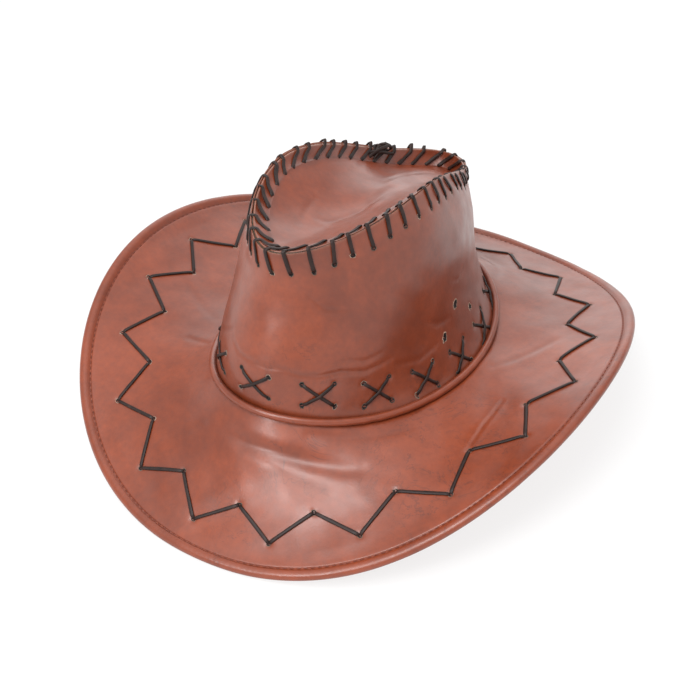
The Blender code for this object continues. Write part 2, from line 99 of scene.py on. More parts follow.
# The brim's rolled edge, as a section: outwards and upwards from its centre
ROLL_HALF_WIDTH = 3.3 * MM
ROLL_HALF_HEIGHT = 2.6 * MM
ROLL_SKIN = 0.7 * MM
ROLL_END = 132.0
SHELF = -2.35 * MM
HEM = 3.5 * MM
HEM_DEPTH = 0.55 * MM
HEM_WIDTH = 0.55 * MM
HEM_STITCH = 3.0 * MM
HEM_PITCH = 3.9 * MM
WIRE = 1.1 * MM

# The brim's relief fades out towards the roll
CALM_FROM = 6.0 * MM
CALM_OVER = 8.0 * MM

# How finely the meshes run round the hat
BRIM_COLUMNS = 720
TOP_COLUMNS = 480

# Lacing; depths and heights that change round the hat are cosine series in millimetres
LACE_HALF_WIDTH = 1.2 * MM
LACE_HALF_HEIGHT = 0.6 * MM
STITCHES = 41
STITCH_DEPTH = (11.7, 2.4)
STITCH_DEPTH_SIDE = -1.5
CROSSES = 16
CROSS_HALF_WIDTH = 9.1 * MM
CROSS_HALF_HEIGHT = 6.5 * MM
CROSS_MIDDLE = (12.5, 6.0)
CROSS_TURN = math.radians(20.0)
CROSS_LOWEST = 9.5 * MM
ZIGZAGS = 19
ZIGZAG_START = math.radians(262.5)
ZIGZAG_SWAY = (math.radians(-2.2), math.radians(4.6))
ZIGZAG_OUTER = (20.0, -1.5, 0.4)
ZIGZAG_INNER = (38.7, -0.6, -0.1)
ZIGZAG_SIDES = (-1.2, -2.5)
HOLE_RING = 1.35 * MM
HOLE_LIFT = 0.06 * MM

# The punched vents: degrees round, share of the wall's height and radius in millimetres
VENTS = ((95.0, 0.34, 2.4), (107.0, 0.24, 1.9), (85.0, 0.225, 2.1))

# The tangle of lace lies beside this stitch
KNOT_STITCH = 4

# The loose ends in the lace's tangle: along the rim, outwards and upwards, in millimetres
TAILS = (
    ((-10.5, -1.5, 1.2), (-6.0, -2.8, 3.1), (-1.0, -3.4, 3.4), (4.0, -3.8, 2.2),
     (8.0, -4.6, 0.2), (10.5, -5.4, -2.6)),
    ((10.0, -1.2, 1.6), (5.0, -2.2, 3.3), (0.0, -3.8, 2.8), (-4.5, -4.6, 1.0),
     (-8.5, -5.4, -1.4), (-11.5, -5.8, -2.8)),
    ((-2.0, -4.4, 2.0), (1.0, -5.0, 0.2), (3.0, -5.8, -2.0), (4.0, -6.2, -4.0)),
)

# Crown and trim; raw is the share of bare backing cloth that shows
RIM_RAW = 0.16
BACK_RAW = 0.8
SEAM_HALF_GAP = 0.25 * MM
SEAM_LINE = 3.0 * MM
SEAM_PITCH = 3.6 * MM
THREAD = 0.3 * MM
BORDER_DROP = (5.9, -3.4)
BORDER_LEAN = (6.2, 1.8)
DISH_DROP = 4.5 * MM
DISH_POWER = 1.6
PIPING = 2.2 * MM
BAND_HEIGHT = 30.0 * MM
BAND_LOW = 3.5 * MM
BAND_STITCHES = 150

# Folds in the leather: places (degrees round, millimetres from the ring), width and depth in mm
BRIM_FOLDS = (
    (((352, 15), (3, 16), (13, 17), (22, 19), (31, 23), (40, 28)), 5.0, 1.35),
    (((25, 7), (40, 10), (58, 15)), 2.6, 0.4),
    (((66, 47), (74, 40), (83, 36)), 1.2, 0.35),
    (((340, 20), (334, 34), (331, 47)), 3.2, 0.35),
    (((286, 12), (280, 30), (276, 44)), 3.2, 0.35),
    (((300, 8), (296, 22)), 2.2, 0.3),
    (((96, 14), (104, 30), (110, 42)), 3.0, 0.35),
    (((150, 10), (158, 24), (170, 30)), 3.0, 0.45),
    (((196, 12), (208, 26)), 3.0, 0.4),
)
WALL_FOLDS = (
    (((340, 37), (349, 32), (7, 30), (14, 31)), 1.5, 0.45),
    (((9, 32), (20, 29), (28, 28), (37, 30), (47, 28), (58, 32)), 1.5, 0.5),
    (((30, 34), (40, 36), (47, 34), (54, 37)), 1.3, 0.25),
    (((60, 27), (70, 24), (80, 27)), 1.8, 0.35),
    (((322, 30), (330, 34), (338, 40)), 1.9, 0.35),
    (((24, 71), (32, 64), (42, 64)), 0.9, 0.22),
    (((48, 78), (52, 70)), 0.8, 0.2),
    (((92, 58), (99, 52), (104, 55)), 1.3, 0.22),
    (((76, 44), (82, 38), (90, 36)), 2.2, 0.35),
    (((160, 28), (175, 30), (192, 27)), 1.8, 0.5),
    (((200, 46), (214, 42)), 1.8, 0.3),
    (((250, 30), (266, 26), (280, 31)), 2.0, 0.45),
    (((290, 52), (304, 48)), 1.6, 0.3),
)

# Folds in the dished panel: (degrees round, hundredths of the way to its edge), width and depth
PANEL_FOLDS = (
    (((330, 52), (0, 34), (60, 12), (150, 22)), 2.6, 0.4),
    (((300, 60), (330, 70)), 2.2, 0.25),
    (((200, 30), (185, 55), (170, 75)), 2.6, 0.3),
)

# Light and camera; the sky's greys are at heights from 0 (the horizon) to 1 (straight up)
SKY = ((0.0, 0.88), (0.2, 0.88), (0.32, 0.42), (0.6, 0.55), (1.0, 1.0))
SKY_STRENGTH = 1.15
LIGHT_AIM = (0.0, 0.0, 0.05)
CAMERA_AIM = (0.0095, -0.0281, 0.0444)
CAMERA_AWAY = 0.7866
CAMERA_AROUND = 33.16
CAMERA_ABOVE = 38.92
CAMERA_ROLL = -2.75
CAMERA_LENS = 67.56


# The curves and surfaces of the hat; angles and places may be arrays

def series(values, angle):
    return sum(value * np.cos(order * angle) for order, value in enumerate(values))


def stack(x, y, z):
    return np.stack(np.broadcast_arrays(x, y, z), axis=-1)


def unit(vectors):
    return vectors / np.linalg.norm(vectors, axis=-1, keepdims=True)


def even_turns(count):
    """Even angles all the way round."""
    return ROUND * np.arange(count) / count


def distances(points):
    """How far along a path each of its points lies."""
    steps = np.linalg.norm(np.diff(points, axis=0), axis=-1)
    return np.concatenate(([0.0], np.cumsum(steps)))


def ring_curve(angle):
    """Where the crown meets the brim, before the hat is set down."""
    x = RING_HALF_WIDTH * np.sin(angle) * (1.0 + RING_EGG * np.cos(angle))
    return stack(x, -RING_HALF_LENGTH * np.cos(angle), series(RING_HEIGHT, angle))


def edge_curve(angle):
    """The centre of the brim's rolled edge."""
    x = np.sin(angle) * series(EDGE_HALF_WIDTH, angle)
    y = -np.cos(angle) * series(EDGE_HALF_LENGTH, angle)
    z = series(RING_HEIGHT, angle) + series(BRIM_RISE, angle) + series(BRIM_CURL, angle)
    return stack(x, y, z)


def rim_curve(angle):
    """The top edge of the crown wall."""
    x = np.sin(angle) * series(RIM_HALF_WIDTH, angle)
    y = RIM_SHIFT - np.cos(angle) * series(RIM_HALF_LENGTH, angle)
    return stack(x, y, series(RIM_HEIGHT, angle))


def resting_pose():
    """The tilt and lift that set the front and back of the brim's edge on one level."""
    front = edge_curve(REST_ARC)
    back = edge_curve(math.pi - REST_ARC)
    tilt = -math.atan2(back[2] - front[2], back[1] - front[1])
    turn = np.array(((1.0, 0.0, 0.0),
                     (0.0, math.cos(tilt), -math.sin(tilt)),
                     (0.0, math.sin(tilt), math.cos(tilt))))
    level = (turn @ front)[2]
    middle = 0.5 * ((turn @ edge_curve(0.0))[1] + (turn @ edge_curve(math.pi))[1])
    return turn, np.array((0.0, -middle, EDGE_LEVEL - level))


TURN, SHIFT = resting_pose()


def width_of_brim(angle):
    return np.linalg.norm(edge_curve(angle) - ring_curve(angle), axis=-1)


def height_of_wall(angle):
    return np.linalg.norm(rim_curve(angle) - ring_curve(angle), axis=-1)


def brim_shape(angle, distance):
    """The middle of the brim, at a distance outwards from the ring, kept above the floor."""
    angle, distance = np.broadcast_arrays(angle, distance)
    across = distance / width_of_brim(angle)
    ring = ring_curve(angle)
    points = ring + (edge_curve(angle) - ring) * across[..., None]
    curl = series(BRIM_RISE, angle) * across + series(BRIM_CURL, angle) * across ** 2
    points[..., 2] = ring[..., 2] + curl
    points = points @ TURN.T + SHIFT
    above = (points[..., 2] - EDGE_LEVEL) / REST_EASE
    points[..., 2] = EDGE_LEVEL + REST_EASE * np.log1p(np.exp(np.minimum(above, 40.0)))
    high = above > 40.0
    points[..., 2] = np.where(high, EDGE_LEVEL + REST_EASE * above, points[..., 2])
    return points


def brim_slope(angle):
    """The direction outwards along the brim where it leaves the crown."""
    return unit(brim_shape(angle, 2.0 * MM) - brim_shape(angle, 0.0))


def wall_shape(angle, distance):
    """The outside of the crown wall, at a distance upwards from the ring."""
    angle, distance = np.broadcast_arrays(angle, distance)
    up = distance / height_of_wall(angle)
    ring = ring_curve(angle)
    along = ring_curve(angle + TINY) - ring_curve(angle - TINY)
    outward = unit(stack(along[..., 1], -along[..., 0], np.zeros_like(angle)))
    bulge = series(WALL_BULGE, angle) * np.sin(math.pi * up)
    bulge = bulge + series(WALL_SWAY, angle) * np.sin(ROUND * up)
    points = ring + (rim_curve(angle) - ring) * up[..., None] + outward * bulge[..., None]
    foot = FOOT * np.exp(-(((angle - FOOT_ANGLE + math.pi) % ROUND - math.pi) / FOOT_ARC) ** 2)
    foot = foot * np.exp(-np.maximum(distance, 0.0) / FOOT_HEIGHT)
    return points @ TURN.T + SHIFT + brim_slope(angle) * foot[..., None]


def settle(shape, angle, distance, target):
    """The angles and distances at which a surface lies nearest to the target points."""
    for _ in range(5):
        here = shape(angle, distance)
        turning = (shape(angle + TINY, distance) - here) / TINY
        rising = (shape(angle, distance + MM) - here) / MM
        gap = target - here
        first = (turning * turning).sum(axis=-1)
        second = (rising * rising).sum(axis=-1)
        cross = (turning * rising).sum(axis=-1)
        by_turn = (gap * turning).sum(axis=-1)
        by_rise = (gap * rising).sum(axis=-1)
        whole = first * second - cross ** 2
        angle = angle + (second * by_turn - cross * by_rise) / whole
        distance = distance + (first * by_rise - cross * by_turn) / whole
    return angle, distance


def straight(shape, start, end, share):
    """Angles and distances along the straight line between two places on a surface."""
    angle = start[0] + (end[0] - start[0]) * share
    distance = start[1] + (end[1] - start[1]) * share
    first, last = shape(start[0], start[1]), shape(end[0], end[1])
    return settle(shape, angle, distance, first + (last - first) * share[:, None])


def even_angles(curve, count, start):
    """Angles at even distances along a closed curve; start is a share of its whole length."""
    angles = np.linspace(0.0, ROUND, 361)
    length = distances(curve(angles))
    shares = start + np.arange(count) / count
    turns = np.floor(shares)
    return np.interp((shares - turns) * length[-1], length, angles) + turns * ROUND


def cloud(points, size, seed):
    """A smooth random field, mostly between -1 and 1, with lumps of about the given size."""
    random = np.random.default_rng(seed)
    total = np.zeros(points.shape[:-1])
    for wave in range(16):
        direction = unit(random.normal(size=3)) * ROUND / (size * random.uniform(1.2, 3.2))
        total += np.cos(points @ direction + random.uniform(0.0, ROUND))
    return total / 4.0


class Skin:
    """A surface of the hat with its relief: dimples at the laces' holes, folds and lumps."""

    def __init__(self, shape, side, folds, holes, seed):
        self.shape = shape
        self.side = side
        self.seed = seed
        self.hole_spots = [shape(angle, distance) for angle, distance in holes]
        self.fold_spots = []
        for places, width, depth in folds:
            turns = np.unwrap(np.radians([place[0] for place in places]))
            reach = np.array([place[1] for place in places]) * MM
            steps = np.linspace(0.0, len(places) - 1.0, 11 * len(places))
            knots = np.arange(len(places))
            line = shape(np.interp(steps, knots, turns), np.interp(steps, knots, reach))
            fade = np.sin(math.pi * (steps + 0.35) / (len(places) - 0.3)) ** 0.7
            self.fold_spots.append((line, fade, width * MM, depth * MM))

    def normal(self, angle, distance):
        round_it = self.shape(angle + TINY, distance) - self.shape(angle - TINY, distance)
        over_it = self.shape(angle, distance + MM) - self.shape(angle, distance - MM)
        return self.side * unit(np.cross(round_it, over_it))

    def folding(self, points):
        """How deep the folds are at some points, and how much shade is painted into their valleys
        there.
        """
        relief = np.zeros(points.shape[:-1])
        dark = np.zeros(points.shape[:-1])
        for line, fade, width, depth in self.fold_spots:
            near = np.linalg.norm(points - line.mean(axis=0), axis=-1)
            reach = np.linalg.norm(line - line.mean(axis=0), axis=-1).max() + 5.0 * width
            here = near < reach
            close = points[here]
            valley = np.zeros(close.shape[:-1])
            ridge = np.zeros(close.shape[:-1])
            for spot, strength in zip(line, fade):
                gap = np.linalg.norm(close - spot, axis=-1) / width
                valley = np.maximum(valley, strength * np.exp(-gap ** 2))
                ridge = np.maximum(ridge, strength * np.exp(-(gap / 2.6) ** 2))
            relief[here] += depth * (0.75 * ridge - 1.5 * valley)
            # painted shade: each fold's valley is darkened where shade falls in it
            dark[here] = np.maximum(dark[here], 0.3 * valley * min(1.0, depth / (0.6 * MM)))
        return relief, dark

    def relief(self, points):
        relief, dark = self.folding(points)
        relief += 0.35 * MM * cloud(points, 26.0 * MM, self.seed)
        relief += 0.07 * MM * cloud(points, 7.0 * MM, self.seed + 1)
        for spot in self.hole_spots:
            gap = np.linalg.norm(points - spot, axis=-1)
            relief -= 0.75 * MM * np.exp(-(gap / (1.8 * MM)) ** 2)
            # painted shade: the leather darkens in each hole's dimple
            dark = np.maximum(dark, 0.9 * np.exp(-(gap / (1.5 * MM)) ** 2))
        return relief, dark

    def layer(self, angle, distance, lift):
        """The plain surface, raised by a lift that may differ from place to place."""
        normal = self.normal(angle, distance)
        return self.shape(angle, distance) + normal * np.asarray(lift)[..., None]

    def at(self, angle, distance, lift):
        """Places at a lift above the finished surface."""
        relief = self.relief(self.shape(angle, distance))[0]
        return self.layer(angle, distance, relief + lift)


# Mesh tools

def new_mesh(name, points, faces, spots=None):
    """An object from arrays of points and of four-cornered faces, smooth, with its UVs."""
    mesh = bpy.data.meshes.new(name)
    mesh.vertices.add(len(points))
    mesh.vertices.foreach_set("co", np.asarray(points, float).ravel())
    mesh.loops.add(faces.size)
    mesh.loops.foreach_set("vertex_index", faces.ravel())
    mesh.polygons.add(len(faces))
    mesh.polygons.foreach_set("loop_start", np.arange(0, faces.size, 4))
    mesh.update(calc_edges=True)
    if spots is not None:
        layer = mesh.uv_layers.new(name="UVMap")
        layer.data.foreach_set("uv", np.asarray(spots, float).ravel())
    mesh.validate()
    mesh.shade_smooth()
    thing = bpy.data.objects.new(name, mesh)
    bpy.context.scene.collection.objects.link(thing)
    return thing


def paint(thing, name, values):
    """Store one number for each point, for the material to read."""
    attribute = thing.data.attributes.new(name, 'FLOAT', 'POINT')
    attribute.data.foreach_set("value", np.asarray(values, float).ravel())


def grid(columns, rows, ring, first=0, length=1.0, width=1.0):
    """Faces between columns and rows of points, and their UVs; a ring's columns close too."""
    column = np.arange(columns if ring else columns - 1)[:, None]
    row = np.arange(rows)[None, :]
    faces, spots = [], []
    for over, up in ((0, 0), (1, 0), (1, 1), (0, 1)):
        faces.append((column + over) % columns * rows + (row + up) % rows + first)
        spot = np.broadcast_arrays((column + over) * length / columns, (row + up) * width / rows)
        spots.append(np.stack(spot, axis=-1))
    return np.stack(faces, axis=-1).reshape(-1, 4), np.stack(spots, axis=-2).reshape(-1, 2)


def finish_piece(thing, material, slot, *stands_for):
    thing.data.materials.append(material)
    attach(thing, "root")
    if stands_for:
        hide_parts(*stands_for)
    return thing


def end_faces(columns, rows, half, first):
    """Faces that close a tube, or a sheet's two faces, at both ends."""
    row = np.arange(half - 1)
    faces = []
    for column in (0, columns - 1):
        start = first + column * rows
        faces.append(np.stack((start + row, start + row + 1, start + rows - 2 - row,
                               start + rows - 1 - row), axis=-1))
    return np.concatenate(faces)


def bundle(name, tubes, ring=False, half=None, width=1.0):
    """One object from tubes, each a grid of points; where they aren't rings their ends close."""
    points, faces, spots, ends = [], [], [], []
    first = 0
    for tube in tubes:
        columns, rows = tube.shape[:2]
        length = distances(tube[:, 0])[-1]
        between, spots_between = grid(columns, rows, ring, first, length, width)
        points.append(tube.reshape(-1, 3))
        faces.append(between)
        spots.append(spots_between)
        if not ring:
            ends.append(end_faces(columns, rows, half or rows // 2, first))
        first += columns * rows
    if ends:
        faces += ends
        spots.append(np.zeros((4 * sum(len(end) for end in ends), 2)))
    return new_mesh(name, np.concatenate(points), np.concatenate(faces), np.concatenate(spots))


def closed_sheet(name, outer, inner, ring=True):
    """A sheet with thickness, from the grids of its two faces; each may have its own rows."""
    points = np.concatenate((outer, inner[:, ::-1]), axis=1)
    half = min(outer.shape[1], inner.shape[1])
    return bundle(name, [points], ring, half, distances(points[0])[-1])


def smooth_path(points, steps):
    """A denser path through points, rounded at each of them."""
    slope = np.gradient(points, axis=0)
    share = np.linspace(0.0, 1.0, steps, endpoint=False)[:, None]
    path = ((2 * share ** 3 - 3 * share ** 2 + 1) * points[:-1, None]
            + (share ** 3 - 2 * share ** 2 + share) * slope[:-1, None]
            + (3 * share ** 2 - 2 * share ** 3) * points[1:, None]
            + (share ** 3 - share ** 2) * slope[1:, None])
    return np.concatenate((path.reshape(-1, points.shape[1]), points[-1:]))


def lace_section(sides):
    """A folded lace across: flat, rounder on top, with a shallow groove along its middle."""
    turn = ROUND * (np.arange(sides) + 0.5) / sides
    across = np.cos(turn)
    high = np.sin(turn)
    high = np.sign(high) * np.abs(high) ** 0.8
    high = np.where(high > 0.0, high * (1.0 - 0.16 * np.exp(-(across / 0.3) ** 2)), high)
    return across, high


def round_section(sides):
    turn = even_turns(sides)
    return np.stack((np.cos(turn), np.sin(turn)))


def rings(centre, outward, upward, out, up):
    """Rings of points round a path, each outwards and upwards from its centre."""
    out = np.atleast_2d(out)[..., None]
    up = np.atleast_2d(up)[..., None]
    return centre[:, None] + outward[:, None] * out + upward[:, None] * up


def tube_grid(path, normals, half_width, half_height, section):
    """Rings round a path; the section's flat side faces along the normals."""
    along = unit(np.gradient(path, axis=0))
    side = unit(np.cross(along, normals))
    out = np.outer(np.broadcast_to(half_width, len(path)), section[0])
    up = np.outer(np.broadcast_to(half_height, len(path)), section[1])
    return rings(path, side, np.cross(side, along), out, up)


def dipping(count, lift, sink):
    """Heights along a lace that dips into its holes; the sink is in millimetres."""
    heights = np.full(count, lift)
    heights[:len(sink)] -= np.array(sink) * MM
    heights[-len(sink):] -= np.array(sink[::-1]) * MM
    return heights


# Materials

def color(red, green, blue):
    """A paint colour given as it looks on a screen, 0 to 255, in linear light."""
    shares = (red / 255.0, green / 255.0, blue / 255.0)
    return tuple(((share + 0.055) / 1.055) ** 2.4 for share in shares) + (1.0,)


def set_ramp(ramp, stops):
    """Fill a colour ramp with colours or greys at places along 0 to 1."""
    while len(ramp.elements) < len(stops):
        ramp.elements.new(0.5)
    for element, (place, shade) in zip(ramp.elements, stops):
        element.position = place
        element.color = shade if isinstance(shade, tuple) else (shade, shade, shade, 1.0)


class Shading:
    """A material and short ways to add nodes to it."""

    def __init__(self, name, roughness, specular=None):
        self.material = bpy.data.materials.new(name)
        self.material.use_nodes = True
        self.tree = self.material.node_tree
        self.shader = self.tree.nodes["Principled BSDF"]
        self.shader.inputs["Roughness"].default_value = roughness
        if specular is not None:
            self.shader.inputs["Specular IOR Level"].default_value = specular

    def feed(self, socket, value):
        if isinstance(value, bpy.types.NodeSocket):
            self.tree.links.new(value, socket)
        else:
            socket.default_value = value

    def node(self, kind, sockets, **settings):
        """A node with its settings, and what its sockets hold or are fed with."""
        made = self.tree.nodes.new("ShaderNode" + kind)
        for name, value in settings.items():
            setattr(made, name, value)
        for socket, value in sockets.items():
            self.feed(made.inputs[socket], value)
        return made

    def place(self):
        return self.node("TexCoord", {}).outputs["Object"]

    def along(self, stretch):
        """UVs, stretched to make a pattern finer along or across a piece."""
        spots = self.node("TexCoord", {}).outputs["UV"]
        return self.node("Mapping", {"Vector": spots, "Scale": stretch}).outputs["Vector"]

    def noise(self, vector, scale, detail=4.0, roughness=0.5, distortion=0.0):
        sockets = {"Vector": vector, "Scale": scale, "Detail": detail, "Roughness": roughness,
                   "Distortion": distortion}
        return self.node("TexNoise", sockets).outputs["Fac"]

    def cells(self, vector, scale, feature='F1'):
        sockets = {"Vector": vector, "Scale": scale}
        return self.node("TexVoronoi", sockets, feature=feature).outputs["Distance"]

    def waves(self, vector, direction):
        sockets = {"Vector": vector, "Scale": 1.0, "Distortion": 0.0}
        return self.node("TexWave", sockets, bands_direction=direction).outputs["Fac"]

    def ramp(self, value, *stops):
        made = self.node("ValToRGB", {"Fac": value})
        set_ramp(made.color_ramp, stops)
        return made.outputs["Color"]

    def mix(self, share, first, second):
        sockets = {0: share, 6: first, 7: second}
        return self.node("Mix", sockets, data_type='RGBA').outputs[2]

    def math(self, operation, first, second):
        return self.node("Math", {0: first, 1: second}, operation=operation).outputs[0]

    def painted(self, name):
        return self.node("Attribute", {}, attribute_name=name).outputs["Fac"]

    def bump(self, height, depth, strength, under=None):
        sockets = {"Height": height, "Distance": depth, "Strength": strength}
        if under is not None:
            sockets["Normal"] = under
        return self.node("Bump", sockets).outputs["Normal"]

    def done(self, base, normal, roughness=None):
        self.feed(self.shader.inputs["Base Color"], base)
        self.feed(self.shader.inputs["Normal"], normal)
        if roughness is not None:
            self.feed(self.shader.inputs["Roughness"], roughness)
        return self.material


def make_leather(name):
    """Coated faux leather: cloudy red-brown print, dark veins, fine pebbled grain, soft gloss."""
    work = Shading(name, 0.4, 0.6)
    place = work.place()
    broad = work.noise(place, 15.0, 5.0, 0.62, 0.5)
    fine = work.noise(place, 85.0, 4.0, 0.6)
    tone = work.math('ADD', work.math('MULTIPLY', broad, 0.72), work.math('MULTIPLY', fine, 0.28))
    base = work.ramp(tone, (0.30, color(110, 46, 23)),
                     (0.46, color(129, 56, 28)),
                     (0.58, color(144, 64, 33)),
                     (0.74, color(155, 72, 39)))
    wander = work.noise(place, 24.0, 5.0, 0.7, 1.2)
    vein = work.math('ABSOLUTE', work.math('SUBTRACT', wander, 0.5), 0.0)
    vein = work.ramp(vein, (0.0, 1.0), (0.012, 0.0))
    patch = work.ramp(work.noise(place, 11.0, 2.0), (0.50, 0.0), (0.64, 0.55))
    base = work.mix(work.math('MULTIPLY', vein, patch), base, color(78, 38, 30))
    worn = work.ramp(work.noise(place, 300.0, 3.0), (0.35, 0.0), (0.75, 0.30))
    base = work.mix(worn, base, color(96, 44, 30))
    # painted shade: the dark attribute mixes in a deep brown in fold valleys, hole dimples, the hem
    # groove, the wall and its foot, the back seam and the panel's edge
    base = work.mix(work.math('MULTIPLY', work.painted("dark"), 0.62), base, color(46, 18, 12))
    fuzz = work.noise(place, 900.0, 3.0)
    base = work.mix(work.painted("raw"), base,
                    work.ramp(fuzz, (0.3, color(150, 112, 92)), (0.7, color(222, 196, 172))))
    pebbles = work.cells(place, 1150.0, 'SMOOTH_F1')
    creases = work.noise(place, 420.0, 5.0, 0.65, 0.8)
    normal = work.bump(pebbles, 0.12 * MM, 0.22)
    normal = work.bump(creases, 0.22 * MM, 0.22, normal)
    gloss = work.ramp(work.noise(place, 60.0, 5.0, 0.6), (0.3, 0.30), (0.7, 0.45))
    work.shader.inputs["Coat Weight"].default_value = 0.3
    work.shader.inputs["Coat Roughness"].default_value = 0.27
    return work.done(base, normal, gloss)


def make_lace_look(name):
    """Dark waxed lace, paler where it is rubbed."""
    work = Shading(name, 0.5, 0.38)
    place = work.place()
    spots = work.noise(place, 260.0, 4.0, 0.6)
    base = work.ramp(spots, (0.3, color(26, 15, 12)), (0.62, color(45, 27, 22)),
                     (0.82, color(78, 54, 46)))
    grain = work.noise(work.along((260.0, 9.0, 1.0)), 1.0, 4.0, 0.6)
    normal = work.bump(grain, 0.12 * MM, 0.5)
    normal = work.bump(work.cells(place, 1500.0), 0.06 * MM, 0.3, normal)
    return work.done(base, normal, work.ramp(spots, (0.3, 0.42), (0.7, 0.58)))


def make_hole_look(name):
    """A punched hole: a pit painted dark as its shade, with a rim of torn pale backing."""
    work = Shading(name, 0.85)
    fuzz = work.noise(work.place(), 1400.0, 3.0)
    rim = work.ramp(fuzz, (0.3, color(138, 96, 76)), (0.7, color(226, 200, 178)))
    # painted shade: the pit's near-black colour
    base = work.mix(work.painted("dark"), rim, color(13, 7, 6))
    return work.done(base, work.bump(fuzz, 0.2 * MM, 0.6))


def make_thread_look(name, dark, light):
    """Twisted thread."""
    work = Shading(name, 0.6)
    twist = work.waves(work.along((1600.0, 2.0, 1.0)), 'DIAGONAL')
    base = work.mix(twist, dark, light)
    return work.done(base, work.bump(twist, 0.08 * MM, 0.6))


def make_cloth_look(name, dark, light, scale):
    """Plain weave: threads crossing over and under."""
    work = Shading(name, 0.9)
    spots = work.along((scale, scale, 1.0))
    weave = work.math('MULTIPLY', work.waves(spots, 'X'), work.waves(spots, 'Y'))
    slub = work.noise(work.place(), 500.0, 3.0)
    base = work.mix(work.math('MULTIPLY', weave, slub), dark, light)
    work.shader.inputs["Sheen Weight"].default_value = 0.2
    return work.done(base, work.bump(weave, 0.15 * MM, 0.6))


def make_plain_look(name, roughness, metallic, grain, dark, light):
    """One colour with a grain, given by its scale, detail, roughness, depth and strength."""
    work = Shading(name, roughness)
    work.shader.inputs["Metallic"].default_value = metallic
    fibres = work.noise(work.place(), *grain[:3])
    base = work.ramp(fibres, (0.3, dark), (0.7, light))
    return work.done(base, work.bump(fibres, *grain[3:]))


# Places of the lacing

def zigzag_corners():
    """The zigzag's corners as (angle, distance), by turns near the edge and further in."""
    corners = []
    for index in range(2 * ZIGZAGS):
        even = ZIGZAG_START + ROUND * index / (2 * ZIGZAGS)
        angle = even + ZIGZAG_SWAY[0] * math.cos(even) + ZIGZAG_SWAY[1] * math.sin(2.0 * even)
        depths = ZIGZAG_INNER if index % 2 else ZIGZAG_OUTER
        inside = series(depths, angle) + ZIGZAG_SIDES[index % 2] * math.sin(angle)
        corners.append((angle, float(width_of_brim(angle)) - inside * MM))
    return corners


def stitch_angles():
    return even_angles(rim_curve, STITCHES, 0.5 + 0.5 / STITCHES)


def cross_pairs():
    """The left and right angle of the holes of each crossed stitch, and its middle's height."""
    pairs = []
    for angle in even_angles(ring_curve, CROSSES, 0.0):
        ends = ring_curve(angle + TINY) - ring_curve(angle - TINY)
        half = CROSS_HALF_WIDTH / (np.linalg.norm(ends) / (2.0 * TINY))
        middle = (CROSS_MIDDLE[0] + CROSS_MIDDLE[1] * math.cos(angle + CROSS_TURN)) * MM
        pairs.append((angle - half, angle + half, max(middle, CROSS_LOWEST)))
    return pairs


def cross_holes():
    return [(angle, middle + side * CROSS_HALF_HEIGHT) for left, right, middle in cross_pairs()
            for angle in (left, right) for side in (-1.0, 1.0)]


def whip_holes(random):
    """Holes of the whip stitch, punched by hand, so not quite in line."""
    holes = []
    for angle in stitch_angles():
        depth = (series(STITCH_DEPTH, angle) + STITCH_DEPTH_SIDE * math.sin(angle)) * MM
        angle += random.normal() * 0.008
        holes.append((angle, height_of_wall(angle) - depth + random.normal() * 0.5 * MM))
    return holes


def vent_holes():
    return [(math.radians(degrees), up * height_of_wall(math.radians(degrees)))
            for degrees, up, size in VENTS]


# Brim

def roll_rows():
    """The rolled edge's section, from the brim's upper face round to its underside."""
    inward = np.array((-6.0, -5.3, -4.8, -4.4, -4.1, -3.85, -3.6, -3.4, -3.2, -3.0, -2.8,
                       -2.6, -2.4)) * MM
    bead = ROLL_HALF_HEIGHT * np.sqrt(np.maximum(0.0, 1.0 - (inward / ROLL_HALF_WIDTH) ** 2))
    groove = COVER_OUT - HEM_DEPTH * np.exp(-((inward + HEM) / HEM_WIDTH) ** 2)
    high = 0.5 * (bead + groove + np.sqrt((bead - groove) ** 2 + (0.15 * MM) ** 2))
    turns = np.radians(np.linspace(128.0, -ROLL_END, 24))
    out = np.concatenate((inward, ROLL_HALF_WIDTH * np.cos(turns)))
    up = np.concatenate((high, ROLL_HALF_HEIGHT * np.sin(turns)))
    return out, up


def edge_frame(angle):
    """The roll's centre, and the directions outwards and upwards from it."""
    width = width_of_brim(angle)
    centre = brim_shape(angle, width)
    along = unit(brim_shape(angle + TINY, width_of_brim(angle + TINY))
                 - brim_shape(angle - TINY, width_of_brim(angle - TINY)))
    out = centre - brim_shape(angle, width - 6.0 * MM)
    out = unit(out - along * (out * along).sum(axis=-1, keepdims=True))
    up = np.cross(out, along)
    return centre, out, up * np.sign(up[..., 2:3])


def calm(angle, distance):
    """The share of the relief that is left at a place on the brim: none at the rolled edge."""
    return np.clip((width_of_brim(angle) - distance - CALM_FROM) / CALM_OVER, 0.0, 1.0)


def roll_grid(skin, angle, out, up):
    """The rolled edge's skin: its first rows follow the brim, the others go round the wire."""
    centre, outward, upward = edge_frame(angle)
    pull = 1.0 + 0.02 * np.cos(ROUND * np.arange(len(angle)) * 3 / 8.0)
    pull = pull + 0.03 * cloud(centre, 9.0 * MM, 8)
    high = np.outer(pull, up)
    roll = rings(centre, outward, upward, out, high)
    shelf = int((out <= SHELF).sum())
    near = width_of_brim(angle)[:, None] + out[:shelf]
    roll[:, :shelf] = skin.layer(angle[:, None], near, high[:, :shelf])
    roll[..., 2] = np.maximum(roll[..., 2], FLOOR_GAP)
    return roll


def roll_lining(angle):
    """The inner face of the rolled edge."""
    turns = np.radians(np.linspace(ROLL_END, -ROLL_END, 12))
    return rings(*edge_frame(angle), (ROLL_HALF_WIDTH - ROLL_SKIN) * np.cos(turns),
                 (ROLL_HALF_HEIGHT - ROLL_SKIN) * np.sin(turns))


